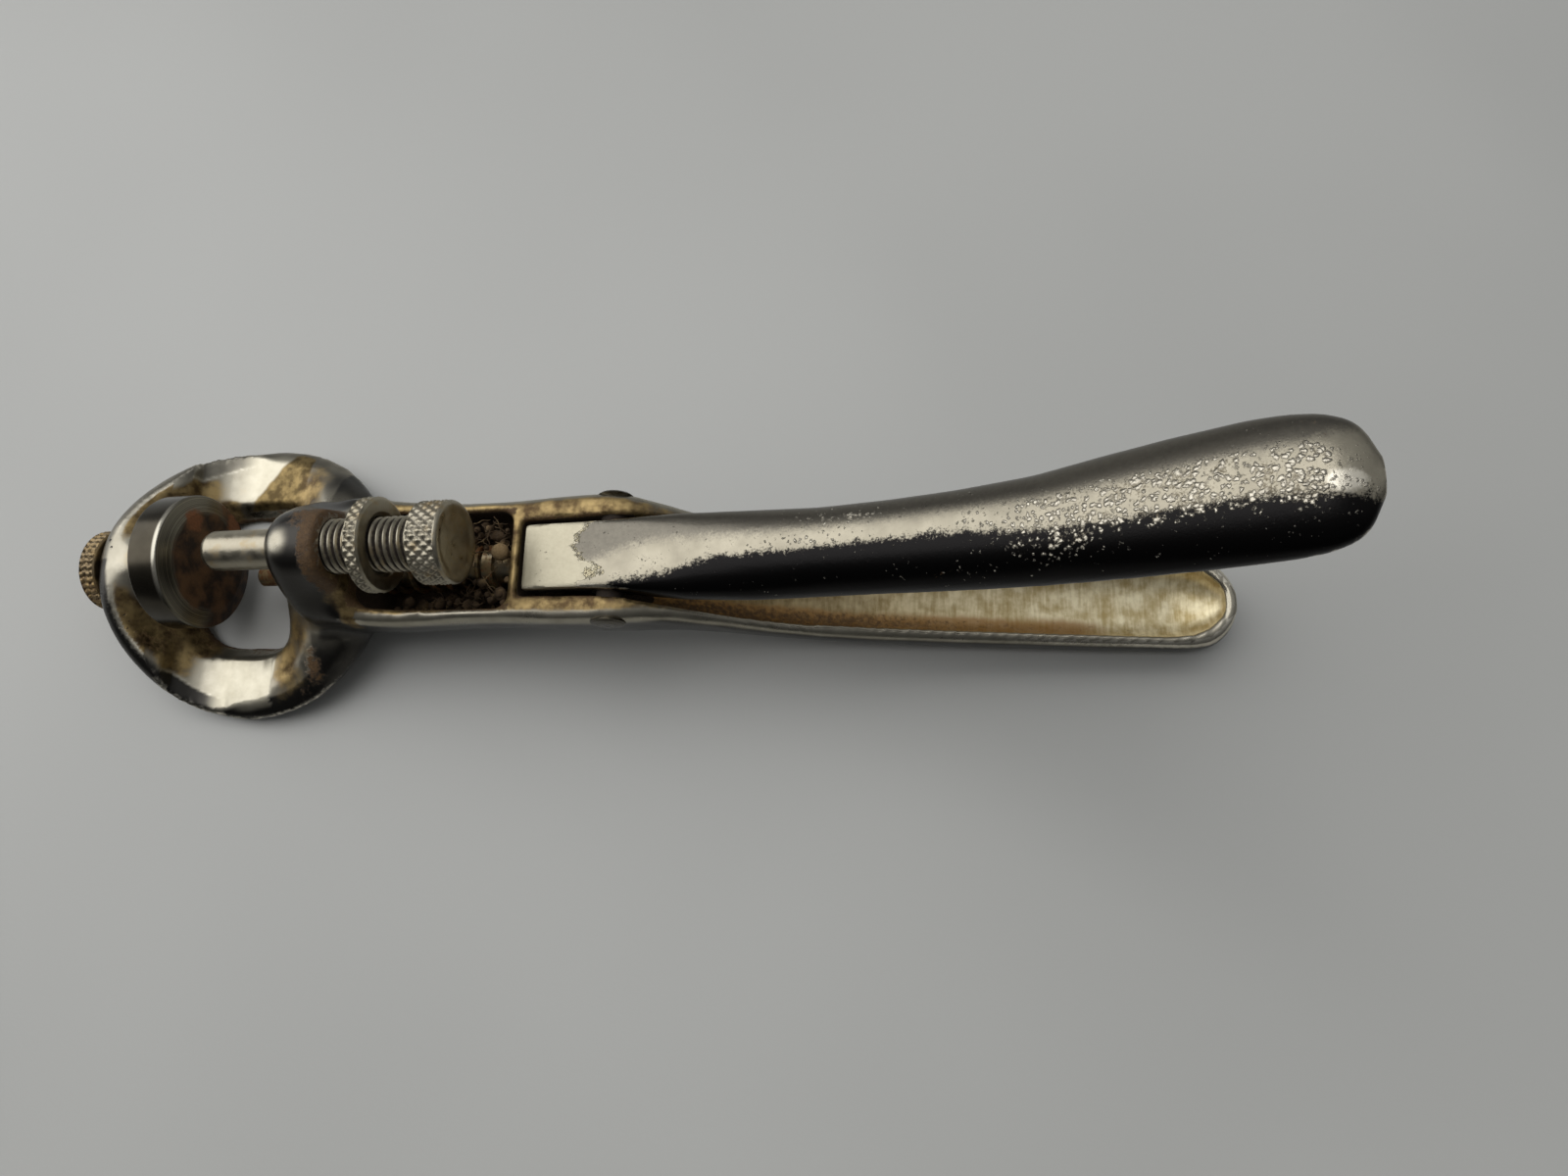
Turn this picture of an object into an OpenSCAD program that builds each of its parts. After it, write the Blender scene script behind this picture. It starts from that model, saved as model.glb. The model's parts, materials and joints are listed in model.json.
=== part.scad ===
// Plier-type hand saw set, in millimetres.
// Every piece is drawn in the tool's own axes: x runs from the nose to the handles, z points to the
// open side where the saw plate goes in, and the working face of the anvil stands at x = 0 round the
// disc's own axis. The last step leans the tool back so that it rests on its hoop and its fixed handle.

/* [Anvil] */
// radius of the anvil disc
disc_r = 10; // [9:0.25:10]
// thickness of the disc from its rim edge to its back
disc_t = 4.85; // [4:0.05:5]
// how far the flat middle of the disc stands proud of the rim
bevel_h = 0.7; // [0.4:0.1:0.9]
// radius of the flat middle
bevel_r = 7.4; // [6.6:0.2:8]
// radius of the stud that goes through the nose
stud_r = 2.8; // [2.4:0.1:3]
// how far the stud stands off the disc's centre
stud_drop = 3; // [2.6:0.1:3.1]
// radius of the shank between the disc and the nose
shank_r = 4.4; // [4:0.1:4.8]
// radius of the knurled nut at the nose
nose_nut_r = 6.2; // [5.6:0.2:6.6]
// thickness of that nut
nose_nut_t = 3; // [2.4:0.2:3.4]

/* [Gauge screw] */
// height of the gauge screw's axis above the disc's axis
gauge_z = 5; // [4.6:0.1:5.2]
// radius of the plain pin
pin_r = 2.9; // [2.6:0.1:3.2]
// x of the pin's rounded tip
pin_tip = 5; // [3.8:0.1:5.4]
// radius over the crests of the thread
thread_r = 3.95; // [3.7:0.05:4]
// radius of the knurled head
head_r = 5.9; // [5.4:0.1:6]
// length of the knurled head
head_l = 4.85; // [4:0.05:5.4]
// x of the head's outer face
head_x = 44.15; // [43:0.05:46]
// radius of the lock nut
lock_r = 6.8; // [6.2:0.1:6.8]
// thickness of the lock nut
lock_t = 2.3; // [1.8:0.1:2.8]
// x of the lock nut's outer face
lock_x = 33; // [31:0.5:35]

/* [Plunger] */
// height of the plunger's axis
plunger_z = -8.75; // [-8.9:0.05:-8.6]
// radius of the plunger in its guides
plunger_r = 2.4; // [2.1:0.1:2.4]
// radius of the slimmer end that pushes the tooth
nib_r = 1.6; // [1.2:0.1:1.9]
// x of the plunger's tip at rest
plunger_tip = 3.5; // [3.2:0.1:3.9]
// radius of the collar that the spring pushes on
collar_r = 3.5; // [3.4:0.05:3.6]
// x of the collar's spring side
collar_x = 42.6; // [41:0.2:43]
// radius of the tail face that the lever pushes
tail_r = 2.9; // [2.6:0.1:2.9]
// diameter of the spring wire
wire_d = 0.8; // [0.7:0.05:0.9]
// number of coils
coils = 7; // [5:1:8]

/* [Lever] */
// x of the pivot
pivot_x = 62.8; // [62.4:0.1:63]
// height of the pivot
pivot_z = -5.8; // [-5.9:0.1:-5.7]
// radius of the pivot pin
pivot_r = 1.9; // [1.6:0.1:2]
// radius of the riveted heads
rivet_r = 2.6; // [2.3:0.1:2.8]
// width of the lever's front block
block_w = 9.8; // [9:0.2:10.4]
// x of the front edge of the lever
block_x = 50.3; // [50.3:0.1:50.8]
// radius of the rounded toe that pushes the plunger
toe_r = 1.6; // [1.4:0.1:1.7]
// width of the toe
toe_w = 6; // [5:0.2:6.2]
// how far the toe sits in front of the pivot
toe_x = 3.4; // [3.2:0.1:3.6]
// how far the toe sits below the pivot
toe_z = 5.4; // [5.2:0.1:5.5]

/* [Frame casting] */
// radius of the hoop's outline
hoop_r = 22.2; // [21.4:0.2:22.6]
// height of the two flats that the saw teeth rest on
flat_z = -10.3; // [-10.6:0.1:-10.1]
// thickness of the hoop at the nose
nose_t = 8.3; // [7.9:0.1:8.7]
// half width of the hoop's window
window_w = 12.3; // [11.8:0.1:12.8]
// height of the boss above the disc's axis
boss_h = 10.3; // [10:0.1:10.6]
// angle at which the tool leans back when it rests
rest_tilt = 12.3; // [12.3]

/* [Fits] */
// running clearance all round a turning or sliding fit
run_fit = 0.05; // [0.03:0.01:0.08]
// gap between the lever's toe and the plunger's tail at rest
toe_gap = 0.1; // [0.05:0.05:0.2]

/* [Hidden] */
$fn = 96;

disc_back = -disc_t;
hoop_x = 1.5;                     // middle of the hoop
nose_x = hoop_x - 0.824 * hoop_r; // outer and inner face of the nose
nose_in = nose_x + nose_t;
nut_out = nose_x - nose_nut_t;
head_in = head_x - head_l;
lock_in = lock_x - lock_t;
boss_x = 15.6;                    // front of the boss
boss_back = 25.4;                 // the pocket starts here
boss_foot = -13.2;
thread_in = 18.4;                 // the thread starts here inside the boss
thread_play = 1.7;                // plain run between that step and the screw's own thread
flat_y = 10.5;                    // the flats start here on each side
web_x = 47.9;                     // cross web between pocket and lever
web_t = 1.3;
web_top = -3.6;
pocket_w = 7.3;
pocket_floor = -12.5;
pocket_bevel = 3;                // keeps metal between the pocket's foot and the round belly
tail_end = pivot_x - toe_x - toe_r - toe_gap;
spring_r = plunger_r + 0.25 + wire_d / 2;
rest_x = 3;                       // the hoop touches the table here
rest_z = -14.9;
row_x = -69.26;                   // puts the middle of the whole tool over the origin
row_z = -(rest_x * sin(rest_tilt) + rest_z * cos(rest_tilt));

// the frame casting along x: [x, value]
body_half = [[14, 8.2], [18, 9.2], [24, 9.7], [30, 9.6], [40, 9.1], [48, 9.15], [55, 9.5], [61, 9.6],
             [65, 9.4], [70, 8.7], [76, 8.2], [84, 8], [97, 7.85], [112, 7.8], [132, 7.75], [144, 7.6],
             [147.4, 7.2], [149.8, 6.3], [151.8, 4.6], [153, 2.7], [153.6, 1]];
rim_z = [[14, -6], [18, -2], [22, 0], [25, -0.4], [28, -2.1], [31, -3.1], [38, -3.5], [50, -3.6], [58, -3.3],
         [63, -3.2], [66, -4.2], [70, -7], [74, -11], [79, -15.8], [83.4, -19.5], [90, -23.6], [97, -26.5],
         [110, -30.2], [122, -33.1], [133, -35.8], [144, -38.4], [150, -39.8], [153.6, -40.2]];
belly_z = [[14, -14.2], [24, -13.9], [40, -13.6], [52, -14.2], [60, -15.3], [66, -17.6], [72, -21], [78, -25],
           [84, -28.3], [90, -31], [97, -33.9], [110, -37.6], [122, -40.7], [133, -43.35], [144, -45.75],
           [148.6, -45.9], [151, -45.1], [152.6, -43.8], [153.6, -42.2]];
chan_half = [[49.2, 5.7], [58, 5.8], [64, 6.1], [70, 6.5], [76, 6.6], [84, 6.35], [97, 6.1], [120, 6], [140, 5.9],
             [146.6, 5.3], [149.2, 4.2], [151, 2.4], [151.8, 0.8]];
chan_floor = [[49.2, -12.6], [60, -13.5], [66, -15.6], [72, -19], [78, -22.9], [84, -26.3], [90, -29],
              [97, -31.8], [110, -35.5], [122, -38.6], [133, -41.2], [144, -43.5], [149, -43.2], [151.8, -41]];

// the lever's handle along x
lever_half = [[50.3, 4.75], [51.2, 4.9], [58, 4.9], [62, 5.05], [66, 5.4], [70, 5.85], [74, 6.2], [84, 6.45], [93, 6.3], [103, 6.45],
              [112, 6.75], [122, 7.2], [130, 7.8], [138, 8.25], [146, 8.5], [150, 8.4], [153.3, 8], [156, 7],
              [157.6, 5.5], [158.5, 3.4], [158.9, 1.2]];
lever_edge = [[50.3, -4.7], [58, -4.7], [62, -5], [67, -5.6], [74, -6.2], [84, -6.7], [93, -6.4], [103, -4.9], [112, -3.2], [122, -0.3],
              [130, 3.8], [138, 7.8], [146, 11.6], [150, 13.1], [153.3, 14], [156, 14.6], [158.9, 15]];
lever_top = [[50.3, -3.3], [51.6, -2.85], [58, -2.7], [64, -2.6], [70, -2.6], [76, -2.6], [84, -2.3], [93, -1.5], [103, 0.2], [112, 2.2],
             [122, 5.2], [130, 9], [138, 12.8], [146, 16.2], [150, 17.4], [153.3, 17.7], [156, 17.4],
             [157.6, 16.8], [158.9, 15.9]];
lever_square = [[50, 16], [60, 14], [65, 7], [70, 4], [76, 2.8], [84, 2.3], [160, 2.2]];

// the boss: [x, drop of its top], [x, share of its width], then [depth below its top, half width] at both ends
boss_drop = [[15.6, 4.1], [15.8, 3.1], [16.2, 2], [17, 1], [18.2, 0.3], [19.6, 0]];
boss_share = [[15.6, 0.62], [15.8, 0.72], [16.2, 0.83], [17, 0.93], [18.2, 0.985], [19.6, 1]];
boss_front = [[0, 0], [0.3, 1.6], [1, 3], [2, 4.2], [3.5, 5.5], [5.5, 7.3], [8.8, 9.2], [11, 10], [14, 10.4], [18, 10], [24, 8.4]];
boss_rear = [[0, 0], [0.3, 2], [1.2, 3.8], [2.5, 4.8], [4.3, 5.3], [6, 5.5], [7.3, 5.8], [8.7, 6.6], [10.3, 7.6], [13.3, 8.3],
             [18, 8.7], [24, 6.6]];
boss_depths = [21.6, 18, 14, 11, 8.8, 7.2, 5.6, 4.2, 3, 2, 1.2, 0.6, 0.25];

// the hoop round its own middle: [angle from the handle side, value]
hoop_out = [[0, 1], [90, 1], [105, 0.992], [115, 0.97], [133, 0.92], [145, 0.89], [158, 0.855], [170, 0.83],
            [180, 0.824]];
hoop_top_out = [[0, -4], [22, -5], [40, -6.8], [55, -9], [68, flat_z + 0.2], [96, flat_z + 0.25], [105, -7.4], [115, -4.3],
                [133, -1.2], [145, 0.7], [158, 2.5], [170, 3.4], [180, 3.5]];
hoop_top_in = [[0, -4.4], [24, -5.6], [40, -7.6], [52, -9.4], [60, flat_z + 0.1], [108, flat_z + 0.1], [120, -9.4],
               [135, -6.8], [147, -3.4], [158, 0.2], [168, 2.6], [180, 3.3]];
hoop_round = [[0, 5.6], [45, 5.2], [66, 3.4], [80, 2.2], [180, 2]];
hoop_foot = [[0, -14.6], [60, -15.2], [90, -15.15], [110, -14], [130, -12.3], [150, -10.8], [180, -9.7]];

// where the sections stand along x
body_end = 152.65;
lever_end = 158.9;
boss_stations = [15.6, 15.8, 16.2, 17, 18.2, 19.6, 22.4, boss_back + 0.8];
body_stations = [14.2, each [17:3:92], each [97:6:139], 143, 146, 148, 149.5, 151, 152, body_end];
chan_stations = [web_x + web_t, each [53:4:93], each [98:8:138], 142, 145, 147, 148.7, 150, body_end - 1.75];
lever_stations = [block_x, block_x + 0.5, block_x + 1.2, 54, 58, 62, 65, 68, 71, 74, 77, 80, each [85:5:140], 144,
                  148, 151, 153.4, 155.3, 156.8, 157.9, 158.6, lever_end];
hollow_stations = [79, 82, each [86:6:146], 150, lever_end - 5.9];

function soft(t, x, d) = (lookup(x - d, t) + 2 * lookup(x, t) + lookup(x + d, t)) / 4;
function pw(v, n) = v <= 0 ? 0 : pow(v, 2 / n);
function mirrored(half) = concat(half, [for (i = [len(half) - 1:-1:0]) if (half[i][0] > 0.001)
                                        [-half[i][0], half[i][1]]]);

// a solid through a row of closed sections that all have the same number of points
module loft(secs, ring = false) {
    n = len(secs[0]);
    m = len(secs);
    last = ring ? m - 1 : m - 2;
    sides = [for (i = [0:last]) for (j = [0:n - 1])
        let (a = i * n + j, b = i * n + (j + 1) % n, c = ((i + 1) % m) * n + (j + 1) % n, d = ((i + 1) % m) * n + j)
        each [[a, c, b], [a, d, c]]];
    caps = ring ? [] : [[for (j = [0:n - 1]) j], [for (j = [n - 1:-1:0]) (m - 1) * n + j]];
    polyhedron(points = [for (s = secs) each s], faces = concat(sides, caps), convexity = 10);
}

// a section of the casting: rounded belly, upright sides, rounded rim
function body_half_section(x) =
    let (w = soft(body_half, x, 1), zt = soft(rim_z, x, 1.5), zb = soft(belly_z, x, 1.5),
         zc = zb + 0.55 * (zt - zb), r = min(0.9, w * 0.4))
    concat([[0, zb]],
           [for (t = [67, 45, 22, 0]) [w * pw(cos(t), 2.7), zc - (zc - zb) * pw(sin(t), 2.7)]],
           [[w, zt - r], [w - 0.3 * r, zt - 0.3 * r], [w - r, zt]]);

function chan_half_section(x) =
    let (w = soft(chan_half, x, 1), zb = soft(chan_floor, x, 1.5), zc = zb + min(4.5, w))
    concat([[0, zb]],
           [for (t = [62, 38, 16, 0]) [w * pw(cos(t), 2.7), zc - (zc - zb) * pw(sin(t), 2.7)]],
           [[w, 14]]);

function lever_half_section(x) =
    let (w = soft(lever_half, x, 0.8), ze = soft(lever_edge, x, 1.5), zt = soft(lever_top, x, 1.5),
         n = lookup(x, lever_square))
    concat([[0, ze - 0.75], [w - 0.5, ze - 0.7], [w, ze]],
           [for (t = [16, 32, 48, 66]) [w * pw(cos(t), n), ze + (zt - ze) * pw(sin(t), n)]],
           [[0, zt]]);

function hollow_half_section(x) =
    let (w = soft(lever_half, x, 0.8) - 1.7, ze = soft(lever_edge, x, 1.5), zt = soft(lever_top, x, 1.5) - 2)
    concat([[0, ze - 4.1], [w, ze - 4]],
           [for (t = [0, 22, 44, 66]) [w * pw(cos(t), 2.2), ze + (zt - ze) * pw(sin(t), 2.2)]],
           [[0, zt]]);

function stand(half, x) = [for (p = mirrored(half)) [x, p[0], p[1]]];

// half of a rounded section of the hoop, in the upright plane at one angle
function hoop_section(q) =
    let (a = q > 180 ? 360 - q : q,
         dx = cos(a), dy = sin(a),
         ro = hoop_r * soft(hoop_out, a, 4),
         wx = dx > 0 ? 8.5 : hoop_x - nose_in,
         ri = 1 / pow(pow(abs(dx) / wx, 3.4) + pow(abs(dy) / window_w, 3.4), 1 / 3.4),
         zo = soft(hoop_top_out, a, 5), zi = soft(hoop_top_in, a, 5), zb = soft(hoop_foot, a, 6),
         lean = 1.9 * dy, k = lookup(a, hoop_round))
    [for (p = [[ri - lean, zb + 0.9], [ri - lean + 1, zb], [ro - 3.6, zb], [ro - 1.6, zb + 0.8],
               [ro - 0.4, zb + 2], [ro, zb + 3.4], [ro, zo - 0.85 * k], [ro - 0.28 * k, zo - 0.3 * k], [ro - k, zo],
               [(ro - k) * 0.66 + ri * 0.34, zo * 0.5 + zi * 0.5], [(ro - k) * 0.33 + ri * 0.67, zo * 0.15 + zi * 0.85],
               [ri + 0.7, zi], [ri, zi - 0.7]])
        [hoop_x + p[0] * dx, p[0] * sin(q), p[1]]];

// a turned piece: the profile is [radius, x] and turns round the x axis
module turned(profile, z = 0) {
    translate([0, 0, z]) rotate([0, 90, 0]) rotate_extrude() polygon(profile);
}

// a round bar or bore along x
module bar(x0, x1, r, z = 0) {
    translate([x0, 0, z]) rotate([0, 90, 0]) cylinder(h = x1 - x0, r = r);
}

module row() {
    translate([row_x, 0, row_z]) rotate([0, -rest_tilt, 0]) children();
}

// a section of the boss: round the gauge screw at the top, spreading to the arms of the hoop below
function boss_half_section(x) =
    let (top = boss_h - lookup(x, boss_drop), k = lookup(x, boss_share), f = min(1, (x - boss_x) / 8))
    concat([[0, boss_foot]],
           [for (d = boss_depths) [k * ((1 - f) * lookup(d, boss_front) + f * lookup(d, boss_rear)),
                                   max(top - d, boss_foot + 0.05 * (30 - d))]],
           [[0, top]]);

module frame_solid() {
    loft([for (q = [355:-5:0]) hoop_section(q)], ring = true);
    loft([for (x = boss_stations) stand(boss_half_section(x), x)]);
    loft([for (x = body_stations) stand(body_half_section(x), x)]);
}

// the pocket has upright corners of radius r, and a bevel along the foot of each side wall
module pocket() {
    r = 2;
    foot = pocket_w - pocket_bevel;
    intersection() {
        translate([0, 0, pocket_floor]) linear_extrude(height = 30) union() {
            translate([boss_back, -pocket_w + r]) square([web_x - boss_back, 2 * (pocket_w - r)]);
            translate([boss_back + r, -pocket_w]) square([web_x - boss_back - 2 * r, 2 * pocket_w]);
            for (x = [boss_back + r, web_x - r], y = [-1, 1]) translate([x, y * (pocket_w - r)]) circle(r = r);
        }
        translate([boss_back - 1, 0, pocket_floor]) rotate([90, 0, 90]) linear_extrude(height = web_x - boss_back + 2)
            polygon([[foot, -1], [foot, 0], [pocket_w + 1, pocket_bevel + 1], [pocket_w + 1, 31],
                     [-pocket_w - 1, 31], [-pocket_w - 1, pocket_bevel + 1], [-foot, 0], [-foot, -1]]);
    }
}

module frame() {
    color("#8f8d86") row() difference() {
        frame_solid();
        pocket();
        for (y = [-1, 1]) translate([-1.5, y * (flat_y + 6.25) - 6.25, flat_z]) cube([7.9, 12.5, 8]);
        loft([for (x = chan_stations) stand(chan_half_section(x), x)]);
        translate([web_x - 0.5, -pocket_w + 0.9, web_top]) cube([web_t + 1, 2 * pocket_w - 1.8, 20]);
        bar(nose_x - 4, -4, stud_r + run_fit, -stud_drop);
        bar(nose_in, -4, shank_r + 0.4, -stud_drop);
        bar(8, thread_in, pin_r + run_fit, gauge_z);
        bar(thread_in - 0.01, 27, thread_r + run_fit, gauge_z);
        bar(7, 52, plunger_r + run_fit, plunger_z);
        translate([pivot_x, 20, pivot_z]) rotate([90, 0, 0]) cylinder(h = 40, r = pivot_r);
        translate([rest_x, -40, rest_z]) rotate([0, rest_tilt, 0]) translate([-60, 0, -20]) cube([260, 80, 20]);
    }
}

module anvil_disc() {
    seat = nose_in + run_fit;
    color("#4a4b4f") row() union() {
        turned([[0, bevel_h], [bevel_r, bevel_h], [disc_r - 0.2, 0], [disc_r, -0.25], [disc_r, disc_back + 0.4],
                [disc_r - 0.4, disc_back], [0, disc_back]]);
        turned([[0, disc_back + 1], [shank_r, disc_back + 1], [shank_r, seat], [stud_r, seat],
                [stud_r, nut_out + 0.1], [stud_r - 0.4, nut_out - 0.3], [0, nut_out - 0.3]], -stud_drop);
    }
}

module anvil_nut() {
    ri = stud_r + run_fit;
    color("#7d6a52") row() turned([[ri, nose_x - 0.02], [nose_nut_r - 0.4, nose_x - 0.02],
        [nose_nut_r, nose_x - 0.4], [nose_nut_r, nut_out + 0.5], [nose_nut_r - 0.5, nut_out], [ri, nut_out]],
        -stud_drop);
}

module gauge_screw() {
    color("#a8a69d") row() turned([[0, pin_tip], [pin_r - 1.1, pin_tip], [pin_r - 0.5, pin_tip + 0.15],
        [pin_r - 0.12, pin_tip + 0.5], [pin_r, pin_tip + 1.1], [pin_r, thread_in + thread_play],
        [thread_r, thread_in + thread_play + 0.9],
        [thread_r, head_in], [head_r - 0.35, head_in], [head_r, head_in + 0.35], [head_r, head_x - 0.5],
        [head_r - 0.35, head_x], [head_r - 1, head_x], [0, head_x - 0.25]], gauge_z);
}

module lock_nut() {
    ri = thread_r + run_fit;
    color("#9c9a90") row() turned([[ri, lock_in], [lock_r - 0.4, lock_in], [lock_r, lock_in + 0.4],
        [lock_r, lock_x - 0.4], [lock_r - 0.4, lock_x], [ri, lock_x]], gauge_z);
}

module plunger() {
    color("#8a8780") row() turned([[0, plunger_tip], [nib_r - 0.4, plunger_tip], [nib_r, plunger_tip + 0.4],
        [nib_r, plunger_tip + 4.5], [plunger_r, plunger_tip + 5.6], [plunger_r, collar_x], [collar_r, collar_x],
        [collar_r, collar_x + 1.6], [plunger_r, collar_x + 1.6], [plunger_r, web_x + web_t + 1.8],
        [tail_r, web_x + web_t + 3], [tail_r, tail_end - 0.3], [tail_r - 0.3, tail_end], [0, tail_end]], plunger_z);
}

// one wire wound from the boss to the collar, with its two end turns lying flat
module return_spring() {
    x0 = boss_back + wire_d / 2;
    x1 = collar_x - wire_d / 2;
    steps = coils * 20;
    dead = 0.75;
    function along(u) = u < dead ? 0.9 * wire_d * u : u > coils - dead
        ? x1 - x0 - 0.9 * wire_d * (coils - u)
        : 0.9 * wire_d * dead + (x1 - x0 - 1.8 * wire_d * dead) * (u - dead) / (coils - 2 * dead);
    color("#6f6a60") row() translate([x0, 0, plunger_z])
        loft([for (i = [0:steps]) let (u = i / 20, a = u * 360)
            [for (j = [7:-1:0]) let (r = spring_r + wire_d / 2 * cos(j * 45))
                [along(u) + wire_d / 2 * sin(j * 45), r * cos(a), r * sin(a)]]]);
}

module lever_side(w) {
    translate([0, w / 2, 0]) rotate([90, 0, 0]) linear_extrude(height = w) children();
}

module lever() {
    tx = pivot_x - toe_x;
    tz = pivot_z - toe_z;
    hub_r = 3;
    color("#75736e") row() difference() {
        union() {
            lever_side(block_w) union() {
                polygon([[block_x + 6, -4], [pivot_x + 9, -4], [pivot_x + 9, -6], [pivot_x + 3, -8.5],
                         [pivot_x - 3, -6.5], [block_x + 8.2, -5.5]]);
                translate([pivot_x, pivot_z]) circle(r = hub_r);
            }
            lever_side(toe_w) union() {
                translate([tx, tz]) circle(r = toe_r);
                polygon([[tx - toe_r * 0.95, tz + 0.5], [pivot_x - hub_r + 0.3, pivot_z - 1], [pivot_x, pivot_z],
                         [pivot_x + 2, pivot_z - 3.9], [tx + 0.4, tz - toe_r * 0.97]]);
            }
            loft([for (x = lever_stations) stand(lever_half_section(x), x)]);
        }
        loft([for (x = hollow_stations) stand(hollow_half_section(x), x)]);
        translate([pivot_x, 20, pivot_z]) rotate([90, 0, 0]) cylinder(h = 40, r = pivot_r + run_fit);
    }
}

module pivot_pin() {
    w = 9.4;
    h = 0.55;
    profile = [[0, -w - h], [rivet_r * 0.55, -w - h * 0.86], [rivet_r * 0.86, -w - h * 0.5], [rivet_r, -w],
               [pivot_r, -w + 0.5], [pivot_r, w - 0.5], [rivet_r, w], [rivet_r * 0.86, w + h * 0.5],
               [rivet_r * 0.55, w + h * 0.86], [0, w + h]];
    color("#9a978f") row() translate([pivot_x, 0, pivot_z]) rotate([-90, 0, 0]) rotate_extrude() polygon(profile);
}

frame();
anvil_disc();
anvil_nut();
gauge_screw();
lock_nut();
plunger();
return_spring();
lever();
pivot_pin();
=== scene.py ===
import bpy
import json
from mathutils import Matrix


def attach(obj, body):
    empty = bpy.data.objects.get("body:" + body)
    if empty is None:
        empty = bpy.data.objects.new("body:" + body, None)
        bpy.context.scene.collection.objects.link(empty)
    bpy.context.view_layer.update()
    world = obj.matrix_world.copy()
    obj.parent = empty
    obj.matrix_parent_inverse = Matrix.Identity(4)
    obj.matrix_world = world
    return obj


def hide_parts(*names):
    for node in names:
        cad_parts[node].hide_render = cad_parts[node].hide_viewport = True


bl_info = {
    "name": "Hand saw set",
    "version": (1, 0, 0),
    "blender": (4, 5, 0),
    "location": "View3D > Sidebar > Saw set",
    "description": "Models and finishes a plier-type hand saw set round its packed frame",
    "category": "Add Mesh",
}

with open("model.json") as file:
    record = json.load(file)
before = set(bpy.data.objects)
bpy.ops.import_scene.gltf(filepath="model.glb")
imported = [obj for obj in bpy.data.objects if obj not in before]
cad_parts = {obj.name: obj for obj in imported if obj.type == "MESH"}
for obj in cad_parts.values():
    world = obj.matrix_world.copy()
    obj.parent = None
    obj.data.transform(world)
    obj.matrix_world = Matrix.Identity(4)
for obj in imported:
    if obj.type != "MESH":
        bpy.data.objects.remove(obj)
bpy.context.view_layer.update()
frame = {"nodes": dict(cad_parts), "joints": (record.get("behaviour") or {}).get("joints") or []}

import json
import math
import random
from functools import partial

import bmesh
import bpy
import numpy as np
from bpy.props import FloatProperty, FloatVectorProperty, PointerProperty
from mathutils import Matrix, Vector, noise

JOINTS = {joint["name"]: joint for joint in frame["joints"]}
MM = 1000  # millimetres in a metre

# The tool's own axes, in millimetres: x from the nose to the handles along the anvil's stud, z to the open
# side, and zero in the middle of the anvil's working face. The stud's joint says where they are.
STUD, STUD_X, STUD_Z = JOINTS["anvil_turn"], -8.5, -3
TILT = math.atan2(STUD["axis"][2], STUD["axis"][0])
TURN = Matrix.Rotation(-TILT, 4, "Y")
ORIGIN = Vector(STUD["pos_m"]) - TURN @ Vector((STUD_X / MM, 0, STUD_Z / MM))
TOOL = Matrix.Translation(ORIGIN) @ TURN @ Matrix.Scale(1 / MM, 4)

PIVOT = TOOL.inverted() @ Vector(JOINTS["lever_pivot"]["pos_m"])
HOOP_X = 1.5  # middle of the hoop
SCREW_Z, PLUNGER_Z = 5, -8.75  # heights of the gauge screw's and the plunger's middle lines
POCKET_HALF, POCKET_FLOOR, WEB_X = 7.3, -12.5, 48.5  # the pocket, and the web between it and the hollow
REST_AT = (3, 0, -14.9)  # a place on the table's plane under the hoop
GROOVE_FULL = 0.4  # depth at which a groove is fully darkened
GRAIN_ROUGH = 0.55  # roughness of a cloudy pattern, unless it says its own


def span(node):
    """Lowest and highest corner of a CAD node in the tool's own axes, in millimetres."""
    back = TOOL.inverted()
    points = np.array([back @ v.co for v in frame["nodes"][node].data.vertices])
    return Vector(points.min(0)), Vector(points.max(0))


# ---------------------------------------------------------------- sizes of the casting and the lever

# half widths and heights, as place along x: value
BODY_HALF = {14: 8.2, 18: 9.2, 24: 9.7, 30: 9.6, 40: 9.1, 48: 9.15, 55: 9.5, 61: 9.6, 65: 9.4, 70: 8.7,
             76: 8.2, 84: 8, 97: 7.85, 112: 7.8, 132: 7.75, 144: 7.6, 146: 7.45, 148: 7.13, 149.5: 6.44,
             150.8: 5.35, 151.6: 4.37, 152.2: 3.27, 152.6: 2.14, 152.8: 1}
RIM = {14: -6, 18: -2, 22: 0, 25: -0.4, 28: -2.1, 31: -3.1, 38: -3.5, 50: -3.6, 58: -3.3, 63: -3.2,
       66: -4.2, 70: -7, 74: -11, 79: -15.8, 83.4: -19.5, 90: -23.6, 97: -26.5, 110: -30.2, 122: -33.1,
       133: -35.8, 144: -38.4, 150: -39.8, 153.6: -40.2}
BELLY = {14: -14.2, 24: -13.9, 40: -13.6, 52: -14.2, 60: -15.3, 66: -17.6, 72: -21, 78: -25, 84: -28.3,
         90: -31, 97: -33.9, 110: -37.6, 122: -40.7, 133: -43.35, 144: -45.75, 148.6: -45.9, 151: -45.1,
         152.6: -43.8, 153.6: -42.2}
CHANNEL_HALF = {49.2: 5.7, 58: 5.8, 64: 6.1, 70: 6.5, 76: 6.6, 84: 6.35, 97: 6.1, 120: 6, 140: 5.9,
                144.5: 5.75, 146.5: 5.3, 148: 4.65, 149.2: 3.85, 150: 3.05, 150.6: 2.2, 151: 1.1}
CHANNEL_FLOOR = {49.2: -12.6, 60: -13.5, 66: -15.6, 72: -19, 78: -22.9, 84: -26.3, 90: -29, 97: -31.8,
                 110: -35.5, 122: -38.6, 133: -41.2, 144: -43.5, 149: -43.2, 151.8: -41}
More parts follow.
